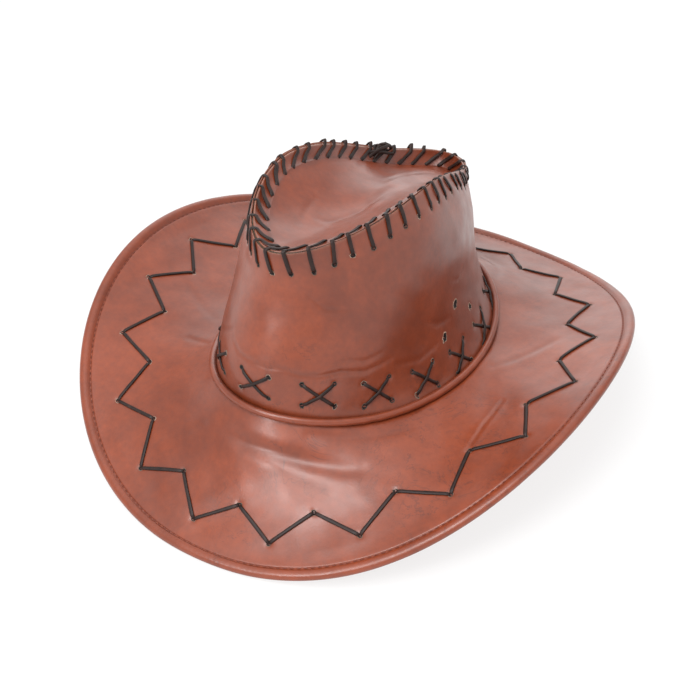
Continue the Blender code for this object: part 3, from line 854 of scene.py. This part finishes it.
def make_brim_top(skin, leather):
    """The top cover and the roll in which it ends, as one sheet."""
    angle = even_turns(BRIM_COLUMNS)
    columns = angle[:, None]
    share = np.linspace(0.0, 1.0, 74)[None, :-1]
    distance = 0.3 * MM + (width_of_brim(columns) - 6.3 * MM) * share
    relief, dark = skin.relief(skin.shape(columns, distance))
    relief = relief * calm(columns, distance)
    top = skin.layer(columns, distance, COVER_OUT + relief)
    out, up = roll_rows()
    roll = roll_grid(skin, angle, out, up)
    below = skin.layer(columns, distance[:, ::6], COVER_IN + relief[:, ::6])
    inner = np.concatenate((below, roll_lining(angle)), axis=1)
    thing = closed_sheet("brim_top_leather", np.concatenate((top, roll), axis=1), inner)
    # painted shade in the hem's groove beside the rolled edge
    groove = 0.4 * np.exp(-((out + HEM) / (0.6 * MM)) ** 2) * (up > 0.0)
    shades = (dark, np.broadcast_to(groove, roll.shape[:2]), np.zeros(inner.shape[:2]))
    paint(thing, "dark", np.concatenate(shades, axis=1))
    finish_piece(thing, leather, "red_brown_leather", "brim_top_cover", "brim_edge_roll")


def make_brim_layers(skin, leather, board):
    """The under cover, and the board between the two covers."""
    columns = even_turns(BRIM_COLUMNS)[:, None]
    share = np.linspace(0.0, 1.0, 60)[None, :]
    rows = 0.5 * MM + (width_of_brim(columns) - 3.2 * MM) * share
    relief = skin.relief(skin.shape(columns, rows))[0] * calm(columns, rows)
    lower = skin.layer(columns, rows, relief - COVER_OUT)
    upper = skin.layer(columns, rows, relief - COVER_IN)
    thing = closed_sheet("brim_under_leather", lower, upper[:, ::4])
    finish_piece(thing, leather, "red_brown_leather", "brim_under_cover")
    rows = rows[:, 1:-5]
    relief = relief[:, 1:-5]
    thing = closed_sheet("brim_board", skin.layer(columns, rows, relief + BOARD_HALF),
                         skin.layer(columns, rows, relief - BOARD_HALF))
    finish_piece(thing, board, "stiff_board", "brim_core")


def make_wire(steel):
    ring = rings(*edge_frame(even_turns(BRIM_COLUMNS)), *(WIRE * round_section(8)))
    thing = bundle("brim_wire", [ring], ring=True)
    finish_piece(thing, steel, "edge_wire_steel", "brim_edge_wire")


def make_hem(thread):
    """Separate stitches lying in the groove beside the rolled edge."""
    angles = np.linspace(0.0, ROUND, 2001)
    upward = edge_frame(angles)[2]
    line = brim_shape(angles, width_of_brim(angles) - HEM)
    line = line + upward * (COVER_OUT - HEM_DEPTH + 0.28 * MM)
    length = distances(line)
    count = int(length[-1] / HEM_PITCH)
    tubes = []
    for index in range(count):
        start = index * length[-1] / count
        reach = start + HEM_STITCH * np.linspace(0.0, 1.0, 7)
        path = np.stack([np.interp(reach, length, line[:, axis]) for axis in range(3)], axis=-1)
        lift = np.array([np.interp(start, length, upward[:, axis]) for axis in range(3)])
        sink = np.array((0.55, 0.2, 0.0, 0.0, 0.0, 0.2, 0.55)) * MM
        path = path - lift * sink[:, None]
        thick = np.array((0.20, 0.27, 0.30, 0.30, 0.30, 0.27, 0.20)) * MM
        tubes.append(tube_grid(path, np.broadcast_to(lift, path.shape), thick, thick,
                               round_section(6)))
    finish_piece(bundle("brim_hem_stitches", tubes), thread, "sewing_thread", "hem_thread")


def make_zigzag(skin, lace, random):
    """One lace that zigzags over the brim and dips into a hole at every corner."""
    corners = zigzag_corners()
    section = lace_section(12)
    tubes = []
    for index, corner in enumerate(corners):
        following = corners[(index + 1) % len(corners)]
        following = (corner[0] + (following[0] - corner[0]) % ROUND, following[1])
        share = np.concatenate(([0.0, 0.014, 0.032, 0.058], np.linspace(0.085, 0.915, 15),
                                [0.942, 0.968, 0.986, 1.0]))
        angle, distance = straight(brim_shape, corner, following, share)
        distance = distance + random.normal() * 0.2 * MM * np.sin(math.pi * share)
        lift = dipping(len(share), COVER_OUT + 0.9 * LACE_HALF_HEIGHT, (1.9, 1.1, 0.4, 0.05))
        lift[4:-4] += 0.15 * MM * np.sin(math.pi * share[4:-4]) * random.uniform(0.3, 1.0)
        path = skin.at(angle, distance, lift)
        wide = LACE_HALF_WIDTH * (0.88 + 0.06 * cloud(path, 9.0 * MM, 70 + index))
        wide[:3] *= (0.62, 0.72, 0.9)
        wide[-3:] *= (0.9, 0.72, 0.62)
        tubes.append(tube_grid(path, skin.normal(angle, distance), wide, LACE_HALF_HEIGHT, section))
    finish_piece(bundle("brim_zigzag_lace", tubes), lace, "dark_lace", "brim_lace")


def make_holes(name, skin, places, base_lift, size, pale, look, random, ragged=0.10):
    """Punched holes: each a pit painted dark as its shade, inside a thin raised rim of torn backing.
    """
    sides = 16
    count = len(places)
    radii = np.array((0.0, 0.6, 0.92, 1.0, 1.12, 1.26))
    lifts = np.array((-0.02, 0.0, 0.02, 0.14, 0.16, -0.10)) * MM
    # painted shade: the pit's rings are fully dark; the outer ring is a little dark in the surface's
    # dimple
    darks = np.array((1.0, 1.0, 1.0, 0.8, 0.0, 0.3))
    angle = np.array([place[0] for place in places])[:, None, None]
    distance = np.array([place[1] for place in places])[:, None, None]
    ends = skin.shape(angle + TINY, distance) - skin.shape(angle - TINY, distance)
    pace = np.linalg.norm(ends, axis=-1) / (2.0 * TINY)
    turn = even_turns(sides)
    shape = random.normal(size=(count, 1, sides)) + np.cos(2.0 * turn + 7.0 * angle)
    reach = radii[None, :, None] * np.reshape(size, (-1, 1, 1)) * (1.0 + ragged * shape)
    lift = lifts[None, :, None] * (1.0 + 2.0 * ragged * random.normal(size=(count, 1, sides)))
    points = skin.at(angle + reach * np.cos(turn) / pace, distance + reach * np.sin(turn),
                     base_lift + lift)
    faces = [grid(len(radii), sides, False, first * len(radii) * sides)[0]
             for first in range(count)]
    thing = new_mesh(name, points.reshape(-1, 3), np.concatenate(faces))
    # a rim shows as much pale backing as its pale share allows; the rest takes the pit's dark colour
    rim = np.maximum(darks[None, :], 1.0 - np.reshape(pale, (-1, 1)))
    paint(thing, "dark", np.repeat(np.where(darks < 0.9, rim, 1.0).ravel(), sides))
    return finish_piece(thing, look, "pale_backing")


# Crown

def wall_rows(height, count):
    share = np.linspace(0.0, 1.0, count)[None, :]
    return np.concatenate((share * (0.97 * height + WALL_HEM) - WALL_HEM,
                           height * np.array((0.985, 0.997, 1.0))[None, :]), axis=1)


def make_crown_wall(skin, leather):
    """The wall's strip, its two ends meeting in the back seam."""
    half_gap = SEAM_HALF_GAP / RING_HALF_WIDTH
    near = np.array((0.0, 0.5, 1.0, 1.6, 2.4)) * MM / RING_HALF_WIDTH
    columns = np.concatenate((math.pi + half_gap + near,
                              np.linspace(math.pi + 0.042, 3.0 * math.pi - 0.042, 560),
                              3.0 * math.pi - half_gap - near[::-1]))[:, None]
    distance = wall_rows(height_of_wall(columns), 96)
    relief, dark = skin.relief(skin.shape(columns, distance))
    from_seam = np.abs(columns % ROUND - math.pi) * RING_HALF_WIDTH
    seam = np.exp(-(from_seam / (0.8 * MM)) ** 2)
    beside = np.exp(-((from_seam - SEAM_LINE) / (2.0 * MM)) ** 2)
    relief = relief - 0.55 * MM * seam + 0.25 * MM * beside
    outer = skin.layer(columns, distance, relief)
    inner = skin.layer(columns, distance[:, ::3], relief[:, ::3] - WALL)
    thing = closed_sheet("crown_wall_leather", outer, inner, ring=False)
    last = outer.shape[1] - 1
    raw = np.zeros((len(columns), outer.shape[1] + inner.shape[1]))
    raw[:, last - 1] = 0.12
    raw[:, last:last + 3] = RIM_RAW
    raw[:, last + 3:-6] = BACK_RAW
    paint(thing, "raw", raw)
    # painted shade: the whole wall a little darker as a side that gets less light, darker still at
    # its foot beside the piping, in the back seam and in its folds
    deep = 0.7 * np.exp(-np.maximum(distance - MM, 0.0) / (1.2 * MM))
    shade = 0.2 + 0.8 * np.maximum(np.maximum(dark, deep), 0.8 * seam)
    paint(thing, "dark", np.concatenate((shade, np.zeros(inner.shape[:2])), axis=1))
    finish_piece(thing, leather, "red_brown_leather", "crown_wall")


def make_wall_cloth(skin, cloth):
    columns = even_turns(240)[:, None]
    share = np.linspace(0.0, 1.0, 24)[None, :]
    rows = 23.0 * MM + (height_of_wall(columns) - 42.0 * MM) * share
    thing = closed_sheet("crown_wall_cloth", skin.layer(columns, rows, -CLOTH_IN),
                         skin.layer(columns, rows, -CLOTH_OUT))
    finish_piece(thing, cloth, "pale_backing", "crown_wall_backing", "back_seam_tape")


def dish(centre, spots, share):
    """The dished panel between its centre (share 0) and spots on its edge (share 1)."""
    points = centre + (spots - centre) * share[..., None]
    rise = (spots[..., 2] - centre[2]) * share ** DISH_POWER
    points[..., 2] = centre[2] + rise - DISH_DROP * (1.0 - share ** 2)
    return points


def dish_spot(edge, turn, reach):
    """A place on the dished panel: an angle round it and a share of the way to its edge."""
    angles = even_turns(len(edge))
    turn, reach = np.broadcast_arrays(turn, reach)
    spots = np.stack([np.interp(turn % ROUND, angles, edge[:, axis], period=ROUND)
                      for axis in range(3)], axis=-1)
    return dish(edge.mean(axis=0), spots, reach / MM / 100.0)


def border(wall, angle, share):
    """The panel's edge strip, from the rim (share 0) down and inwards to its fold (share 1)."""
    angle, share = np.broadcast_arrays(angle, share)
    rim = height_of_wall(angle)
    outward = wall.normal(angle, rim)
    top = wall.shape(angle, rim) - outward * FLANGE_IN
    level = unit(outward * (1.0, 1.0, 0.0))
    inward = -level * (series(BORDER_LEAN, angle) * MM)[..., None]
    down = np.array((0.0, 0.0, -1.0)) * (series(BORDER_DROP, angle) * MM)[..., None]
    bend = top + 0.62 * down + 0.28 * inward
    share = share[..., None]
    return ((1.0 - share) ** 2 * top + 2.0 * share * (1.0 - share) * bend
            + share ** 2 * (top + down + inward))


def border_normal(wall, angle, share):
    round_it = border(wall, angle + TINY, share) - border(wall, angle - TINY, share)
    over_it = border(wall, angle, share + TINY) - border(wall, angle, share - TINY)
    normal = unit(np.cross(over_it, round_it))
    return normal * np.sign(normal[..., 2:3])


def panel_fold(wall):
    """The fold between the dished panel and its turned-up edge."""
    return border(wall, even_turns(TOP_COLUMNS), np.ones(TOP_COLUMNS))


def lumpy_panel(edge, share):
    """The dished panel with its lumps and folds, and the shade painted into the folds."""
    panel = dish(edge.mean(axis=0), edge[:, None], share[None, :])
    still = np.clip((1.0 - share) / 0.06, 0.0, 1.0)[None, :]
    panel[..., 2] += 0.5 * MM * cloud(panel, 30.0 * MM, 43) * still
    panel[..., 2] += 0.10 * MM * cloud(panel, 9.0 * MM, 44) * still
    folds = Skin(lambda turn, reach: dish_spot(edge, turn, reach), 1.0, PANEL_FOLDS, (), 45)
    crease, dark = folds.folding(panel)
    panel[..., 2] += crease
    return panel, dark


def make_top(wall, leather):
    """The dished panel with its edge turned up inside the wall."""
    columns = even_turns(TOP_COLUMNS)[:, None]
    strip = np.array((0.0, 0.03, 0.09, 0.18, 0.28, 0.38, 0.48, 0.58, 0.68, 0.78, 0.87, 0.94))
    flange = border(wall, columns, strip[None, :])
    facing = border_normal(wall, columns, strip[None, :])
    lumps = 0.3 * MM * cloud(flange, 10.0 * MM, 41) * np.clip(strip / 0.4, 0.0, 1.0)
    flange = flange + facing * lumps[..., None]
    share = np.concatenate(((0.999, 0.992, 0.98), np.linspace(0.96, 0.0, 50)))
    panel, dark = lumpy_panel(panel_fold(wall), share)
    top = np.concatenate((flange, panel), axis=1)
    thick = FLANGE_IN - FLANGE_OUT
    outside = flange[:, ::2] - facing[:, ::2] * thick
    outside[:, 0] = flange[:, 0] + wall.normal(columns, height_of_wall(columns))[:, 0] * thick
    inner = np.concatenate((outside, panel[:, ::4] - np.array((0.0, 0.0, thick))), axis=1)
    thing = closed_sheet("crown_top_leather", top, inner)
    raw = np.zeros((len(columns), top.shape[1] + inner.shape[1]))
    raw[:, 0] = RIM_RAW
    raw[:, 1] = 0.1
    raw[:, top.shape[1]:] = BACK_RAW
    raw[:, -2:] = RIM_RAW
    paint(thing, "raw", raw)
    # painted shade: the turned-up edge darker, most at its fold, and the panel darker in its folds
    # and right beside that fold
    shade = np.zeros_like(raw)
    shade[:, :len(strip)] = 0.35 + 0.35 * np.exp(-((strip - 1.0) / 0.15) ** 2)
    shade[:, len(strip):top.shape[1]] = np.maximum(dark, 0.5 * np.exp(-(1.0 - share) / 0.025))
    paint(thing, "dark", shade)
    finish_piece(thing, leather, "red_brown_leather", "crown_top_panel")


def make_top_cloth(wall, cloth):
    edge = panel_fold(wall)
    low = dish(edge.mean(axis=0), edge[:, None], np.linspace(0.9, 0.0, 16)[None, :])
    low[..., 2] -= 2.6 * MM
    thing = closed_sheet("crown_top_cloth", low - np.array((0.0, 0.0, 0.6 * MM)), low)
    finish_piece(thing, cloth, "pale_backing", "crown_top_backing")


def make_seam(wall, thread):
    """Two lines of stitches beside the back seam."""
    tubes = []
    height = float(height_of_wall(math.pi))
    for side in (-1.0, 1.0):
        angle = math.pi + side * SEAM_LINE / RING_HALF_WIDTH
        for index in range(int((height - 20.0 * MM) / SEAM_PITCH)):
            rows = 5.0 * MM + (index + np.linspace(0.0, 0.8, 6)) * SEAM_PITCH
            lift = np.array((-0.3, 0.12, 0.3, 0.3, 0.12, -0.3)) * MM + 0.25 * MM
            path = wall.at(np.full(6, angle), rows, lift)
            normal = wall.normal(np.full(6, angle), rows)
            tubes.append(tube_grid(path, normal, THREAD, THREAD, round_section(6)))
    finish_piece(bundle("back_seam_stitches", tubes), thread, "sewing_thread",
                 "back_seam_thread")


def whip_over(wall, hole, step, lean, ease):
    """A stitch's way from its hole up the outside and over the rim, and the way it faces."""
    angle, height = hole
    rim = float(height_of_wall(angle))
    out = 0.75 * LACE_HALF_HEIGHT
    stops = np.array(((0.0, height - 0.5 * MM, -1.6 * MM),
                      (0.0, height + 0.3 * MM, -0.1 * MM),
                      (0.15 * lean, height + 1.8 * MM, out + 0.25 * MM),
                      (0.55 * lean, 0.5 * (height + rim), out + ease),
                      (0.9 * lean, rim - 1.5 * MM, out + 0.25 * MM),
                      (lean, rim + 0.25 * MM, 0.2 * MM),
                      (lean + 0.03, rim + 0.9 * MM, -0.9 * MM)))
    turns = angle + step * stops[:, 0]
    rows = np.minimum(stops[:, 1], rim)
    outward = wall.normal(turns, rows)
    lifts = stops[:, 2] + wall.relief(wall.shape(turns, rows))[0]
    facing = np.array([[0.5], [0.8], [1.0], [1.0], [0.9], [0.6], [0.0]]) * outward
    facing[-2:] += ((0.0, 0.0, 0.6), (0.0, 0.0, 1.0))
    return wall.shape(turns, stops[:, 1]) + outward * lifts[:, None], facing


def whip_under(wall, angle, step, lean):
    """Its way down the inside, slanting over the panel's turned-up edge."""
    strip = np.array((0.06, 0.2, 0.45, 0.72, 0.9, 0.99))
    slant = lean + (0.92 - lean) * np.array((0.08, 0.2, 0.46, 0.72, 0.92, 1.0))
    up = border_normal(wall, angle + step * slant, strip)
    lifts = np.array((0.75, 0.85, 0.8, 0.75, 0.45, -0.9)) * MM
    return border(wall, angle + step * slant, strip) + up * lifts[:, None], up


def make_whip(wall, holes, lace, random):
    """The whip stitch: up the outside, over the rim and slanting down the inside."""
    tubes = []
    for index, hole in enumerate(holes):
        step = (holes[(index + 1) % len(holes)][0] - hole[0]) % ROUND
        lean = -0.24 + random.normal() * 0.07
        ease = random.uniform(0.0, 0.5) * MM
        over, facing = whip_over(wall, hole, step, lean, ease)
        under, up = whip_under(wall, hole[0], step, lean)
        path = smooth_path(np.concatenate((over, under)), 4)
        normals = unit(smooth_path(np.concatenate((facing, up)), 4))
        wide = LACE_HALF_WIDTH * (0.95 + 0.08 * cloud(path, 7.0 * MM, 90 + index))
        tubes.append(tube_grid(path, normals, wide, LACE_HALF_HEIGHT * 0.92, lace_section(10)))
    finish_piece(bundle("crown_whip_lace", tubes), lace, "dark_lace", "crown_rim_lace")


def knot_frame(wall):
    """The middle of the tangle, and the ways along the rim, outwards and upwards there."""
    middle = stitch_angles()[KNOT_STITCH:KNOT_STITCH + 2].mean(keepdims=True)
    rim = height_of_wall(middle)
    outward = wall.normal(middle, rim)[0]
    along = unit(wall.shape(middle + TINY, rim) - wall.shape(middle - TINY, rim))[0]
    upward = unit(np.cross(outward, along))
    upward = upward * np.sign(upward[2])
    origin = wall.shape(middle, rim)[0] - outward * 2.4 * MM - upward * 1.9 * MM
    return origin, along, outward, upward


def make_knot(wall, lace, random):
    """The tangle where the rim lace begins and ends: turns of lace wound over one another."""
    origin, along, outward, upward = knot_frame(wall)
    section = lace_section(10)
    tubes = []
    for turn in range(7):
        shift = (turn - 3.0) * 2.9 * MM
        steps = np.linspace(-0.3, 1.02 * ROUND, 26)
        wide = (3.0 + 0.3 * random.normal()) * MM
        high = (2.1 + 0.25 * random.normal()) * MM
        slant = random.choice((-1.0, 1.0)) * random.uniform(1.5, 3.5) * MM
        rise = high * np.sin(steps) - 0.9 * MM * (1.0 - np.cos(steps))
        path = (origin + np.outer(shift + slant * np.cos(steps), along)
                + np.outer(wide * np.cos(steps), outward) + np.outer(rise, upward))
        normals = np.outer(np.cos(steps), outward) + np.outer(np.sin(steps), upward)
        tubes.append(tube_grid(path, normals, LACE_HALF_WIDTH * 0.95, LACE_HALF_HEIGHT, section))
    for tail in TAILS:
        spots = np.array(tail) * MM
        path = smooth_path(origin + spots @ np.array((along, outward, upward)), 6)
        normals = unit(path - origin + upward * 0.5 * MM)
        tubes.append(tube_grid(path, normals, LACE_HALF_WIDTH * 0.9, LACE_HALF_HEIGHT, section))
    finish_piece(bundle("crown_lace_tangle", tubes), lace, "dark_lace", "crown_lace_knot")


def make_crosses(wall, lace):
    """The two crossing laces; one lies on the other, by turns."""
    section = lace_section(12)
    for number, name in enumerate(("cross_lace_first", "cross_lace_second")):
        tubes = []
        for index, (left, right, middle) in enumerate(cross_pairs()):
            rising = (number == 0) == (index % 2 == 0)
            rise = CROSS_HALF_HEIGHT if rising else -CROSS_HALF_HEIGHT
            share = np.array((0.0, 0.03, 0.08, 0.15, 0.3, 0.4, 0.5, 0.6, 0.7, 0.85, 0.92, 0.97, 1.0))
            angle, rows = straight(wall_shape, (left, middle - rise), (right, middle + rise), share)
            lift = dipping(len(share), 0.85 * LACE_HALF_HEIGHT, (1.9, 1.0, 0.25))
            if rising:
                lift += 1.15 * MM * np.exp(-((share - 0.5) / 0.16) ** 2)
            path = wall.at(angle, rows, lift)
            wide = 0.86 * LACE_HALF_WIDTH * (0.95 + 0.05 * cloud(path, 6.0 * MM, 60 + index))
            tubes.append(tube_grid(path, wall.normal(angle, rows), wide, LACE_HALF_HEIGHT, section))
        finish_piece(bundle(name + "_strands", tubes), lace, "dark_lace", name)


def make_piping(wall, leather):
    """The covered cord in the joint of crown and brim, puckered by its sewing."""
    columns = even_turns(900)
    ring = brim_shape(columns, 0.0)
    side = brim_slope(columns)
    along = brim_shape(columns + TINY, 0.0) - brim_shape(columns - TINY, 0.0)
    normal = -unit(np.cross(along, side))
    facing = wall.normal(columns, 3.0 * MM)
    high = COVER_OUT + 0.9 * PIPING
    foot = wall_shape(columns, 0.0) - ring
    reach = 0.82 * PIPING + ((foot - normal * high) * facing).sum(axis=-1)
    reach = reach / (side * facing).sum(axis=-1)
    turn = even_turns(18)
    centre = ring + normal * high + side * reach[:, None]
    pucker = 1.0 + 0.03 * cloud(centre, 5.0 * MM, 51) + 0.02 * cloud(centre, 2.2 * MM, 52)
    flat = np.where(np.sin(turn) < 0.0, 0.9, 1.0)
    points = rings(centre, side, normal, np.outer(pucker, np.cos(turn)) * PIPING,
                   np.sin(turn) * flat * PIPING)
    thing = bundle("crown_base_piping", [points], ring=True)
    # painted shade on the cord's side against the wall and on its underside against the brim
    inner = np.exp(-((turn - math.pi * 0.93) / 0.45) ** 2)
    outer = np.exp(-(((turn + 0.5 * math.pi) % ROUND - 0.5 * math.pi + 0.35) / 0.4) ** 2)
    paint(thing, "dark", np.broadcast_to(np.maximum(inner, 0.5 * outer), points.shape[:2]))
    finish_piece(thing, leather, "red_brown_leather", "base_piping")


def make_sweatband(wall, band, thread):
    columns = even_turns(360)[:, None]
    rows = np.linspace(-BAND_LOW, BAND_HEIGHT, 30)[None, :]
    outer = wall.layer(columns, rows, -BAND_OUT)
    waves = 0.12 * MM * cloud(wall.shape(columns, rows), 18.0 * MM, 53)
    inner = wall.layer(columns, rows, -BAND_OUT - BAND - waves)
    thing = closed_sheet("sweatband_cloth", inner, outer[:, ::3])
    finish_piece(thing, band, "sweatband_fabric", "sweatband")
    tubes = []
    for index in range(BAND_STITCHES):
        angle = ROUND * (index + np.linspace(0.0, 0.75, 5)) / BAND_STITCHES
        lift = np.array((0.2, -0.25, -0.3, -0.25, 0.2)) * MM - BAND_OUT - BAND
        path = wall.shape(angle, 1.6 * MM - BAND_LOW) + wall.normal(angle, 0.0) * lift[:, None]
        tubes.append(tube_grid(path, wall.normal(angle, 0.0), THREAD, THREAD,
                               round_section(6)))
    finish_piece(bundle("sweatband_stitches", tubes), thread, "sewing_thread",
                 "sweatband_thread")


# Setting

def make_floor():
    half = 6.0
    points = np.array(((-half, -half, 0.0), (half, -half, 0.0), (half, half, 0.0),
                       (-half, half, 0.0)))
    floor = new_mesh("floor", points, np.array(((0, 1, 2, 3),)))
    work = Shading("floor_paper", 0.9, 0.1)
    work.shader.inputs["Base Color"].default_value = (0.2, 0.2, 0.2, 1.0)
    work.shader.inputs["Emission Color"].default_value = (1.0, 1.0, 1.0, 1.0)
    work.shader.inputs["Emission Strength"].default_value = 0.8
    floor.data.materials.append(work.material)


def add_light(name, place, size, power):
    lamp = bpy.data.lights.new(name, 'AREA')
    lamp.shape = 'DISK'
    lamp.size = size
    lamp.energy = power
    thing = bpy.data.objects.new(name, lamp)
    bpy.context.scene.collection.objects.link(thing)
    thing.location = place
    away = np.array(place) - np.array(LIGHT_AIM)
    around = math.atan2(away[0], -away[1])
    above = math.atan2(away[2], math.hypot(away[0], away[1]))
    thing.rotation_euler = (0.5 * math.pi - above, 0.0, around)


def make_lights():
    world = bpy.data.worlds.new("studio")
    world.use_nodes = True
    nodes, links = world.node_tree.nodes, world.node_tree.links
    spots = nodes.new("ShaderNodeTexCoord")
    split = nodes.new("ShaderNodeSeparateXYZ")
    ramp = nodes.new("ShaderNodeValToRGB")
    links.new(spots.outputs["Generated"], split.inputs["Vector"])
    links.new(split.outputs["Z"], ramp.inputs["Fac"])
    links.new(ramp.outputs["Color"], nodes["Background"].inputs["Color"])
    set_ramp(ramp.color_ramp, SKY)
    nodes["Background"].inputs["Strength"].default_value = SKY_STRENGTH
    bpy.context.scene.world = world
    bpy.context.scene.view_settings.view_transform = 'Standard'
    add_light("top_light", (0.08, -0.65, 1.46), 0.7, 11.0)
    add_light("front_light", (-0.20, -1.25, 1.06), 0.5, 7.5)
    add_light("back_light", (-0.80, 1.60, 0.95), 2.0, 8.5)


def make_camera():
    around = math.radians(CAMERA_AROUND)
    above = math.radians(CAMERA_ABOVE)
    away = np.array((math.sin(around) * math.cos(above), -math.cos(around) * math.cos(above),
                     math.sin(above)))
    lens = bpy.data.cameras.new("camera")
    lens.lens = CAMERA_LENS
    lens.sensor_width = 36.0
    camera = bpy.data.objects.new("camera", lens)
    bpy.context.scene.collection.objects.link(camera)
    camera.location = np.array(CAMERA_AIM) + CAMERA_AWAY * away
    aim = Euler((0.5 * math.pi - above, 0.0, around)).to_matrix()
    roll = Euler((0.0, 0.0, math.radians(CAMERA_ROLL))).to_matrix()
    camera.rotation_euler = (aim @ roll).to_euler()
    bpy.context.scene.camera = camera


def main():
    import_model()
    random = np.random.default_rng(7)
    leather = make_leather("red_brown_leather_look")
    lace = make_lace_look("dark_lace_look")
    hole_look = make_hole_look("punched_hole_look")
    cloth = make_cloth_look("pale_backing_look", color(150, 124, 100), color(214, 190, 164), 900.0)
    band = make_cloth_look("sweatband_look", color(16, 15, 15), color(48, 45, 44), 700.0)
    thread = make_thread_look("sewing_thread_look", color(92, 44, 32), color(140, 72, 54))
    board = make_plain_look("stiff_board_look", 0.9, 0.0, (700.0, 5.0, 0.7, 0.1 * MM, 0.4),
                            color(120, 110, 100), color(160, 150, 138))
    steel = make_plain_look("edge_wire_look", 0.35, 1.0, (900.0, 3.0, 0.5, 0.05 * MM, 0.3),
                            color(170, 170, 172), color(205, 205, 208))

    corners = zigzag_corners()
    crosses = cross_holes()
    whips = whip_holes(random)
    vents = vent_holes()
    brim = Skin(brim_shape, -1.0, BRIM_FOLDS, corners, 11)
    wall = Skin(wall_shape, 1.0, WALL_FOLDS, crosses + whips + vents, 21)
    make_brim_top(brim, leather)
    make_brim_layers(brim, leather, board)
    make_wire(steel)
    make_hem(thread)
    make_zigzag(brim, lace, random)
    pale = [1.0 if 190.0 < math.degrees(angle) % 360.0 < 330.0 else 0.3 for angle, row in corners]
    make_holes("brim_lace_holes", brim, corners, COVER_OUT + HOLE_LIFT, HOLE_RING, pale,
               hole_look, random)
    make_crown_wall(wall, leather)
    make_wall_cloth(wall, cloth)
    make_top(wall, leather)
    make_top_cloth(wall, cloth)
    make_seam(wall, thread)
    make_whip(wall, whips, lace, random)
    make_knot(wall, lace, random)
    make_crosses(wall, lace)
    pale = [0.7 if index % 4 == 0 else 0.2 for index in range(len(whips))]
    make_holes("whip_lace_holes", wall, whips, HOLE_LIFT, HOLE_RING, pale, hole_look, random)
    pale = [0.6 if index % 3 == 0 else 0.15 for index in range(len(crosses))]
    make_holes("cross_lace_holes", wall, crosses, HOLE_LIFT, HOLE_RING, pale, hole_look, random)
    make_holes("vent_holes", wall, vents, HOLE_LIFT, [size * MM for turn, up, size in VENTS],
               [1.0] * len(vents), hole_look, random, ragged=0.16)
    make_piping(wall, leather)
    make_sweatband(wall, band, thread)
    make_floor()
    make_lights()
    make_camera()


main()
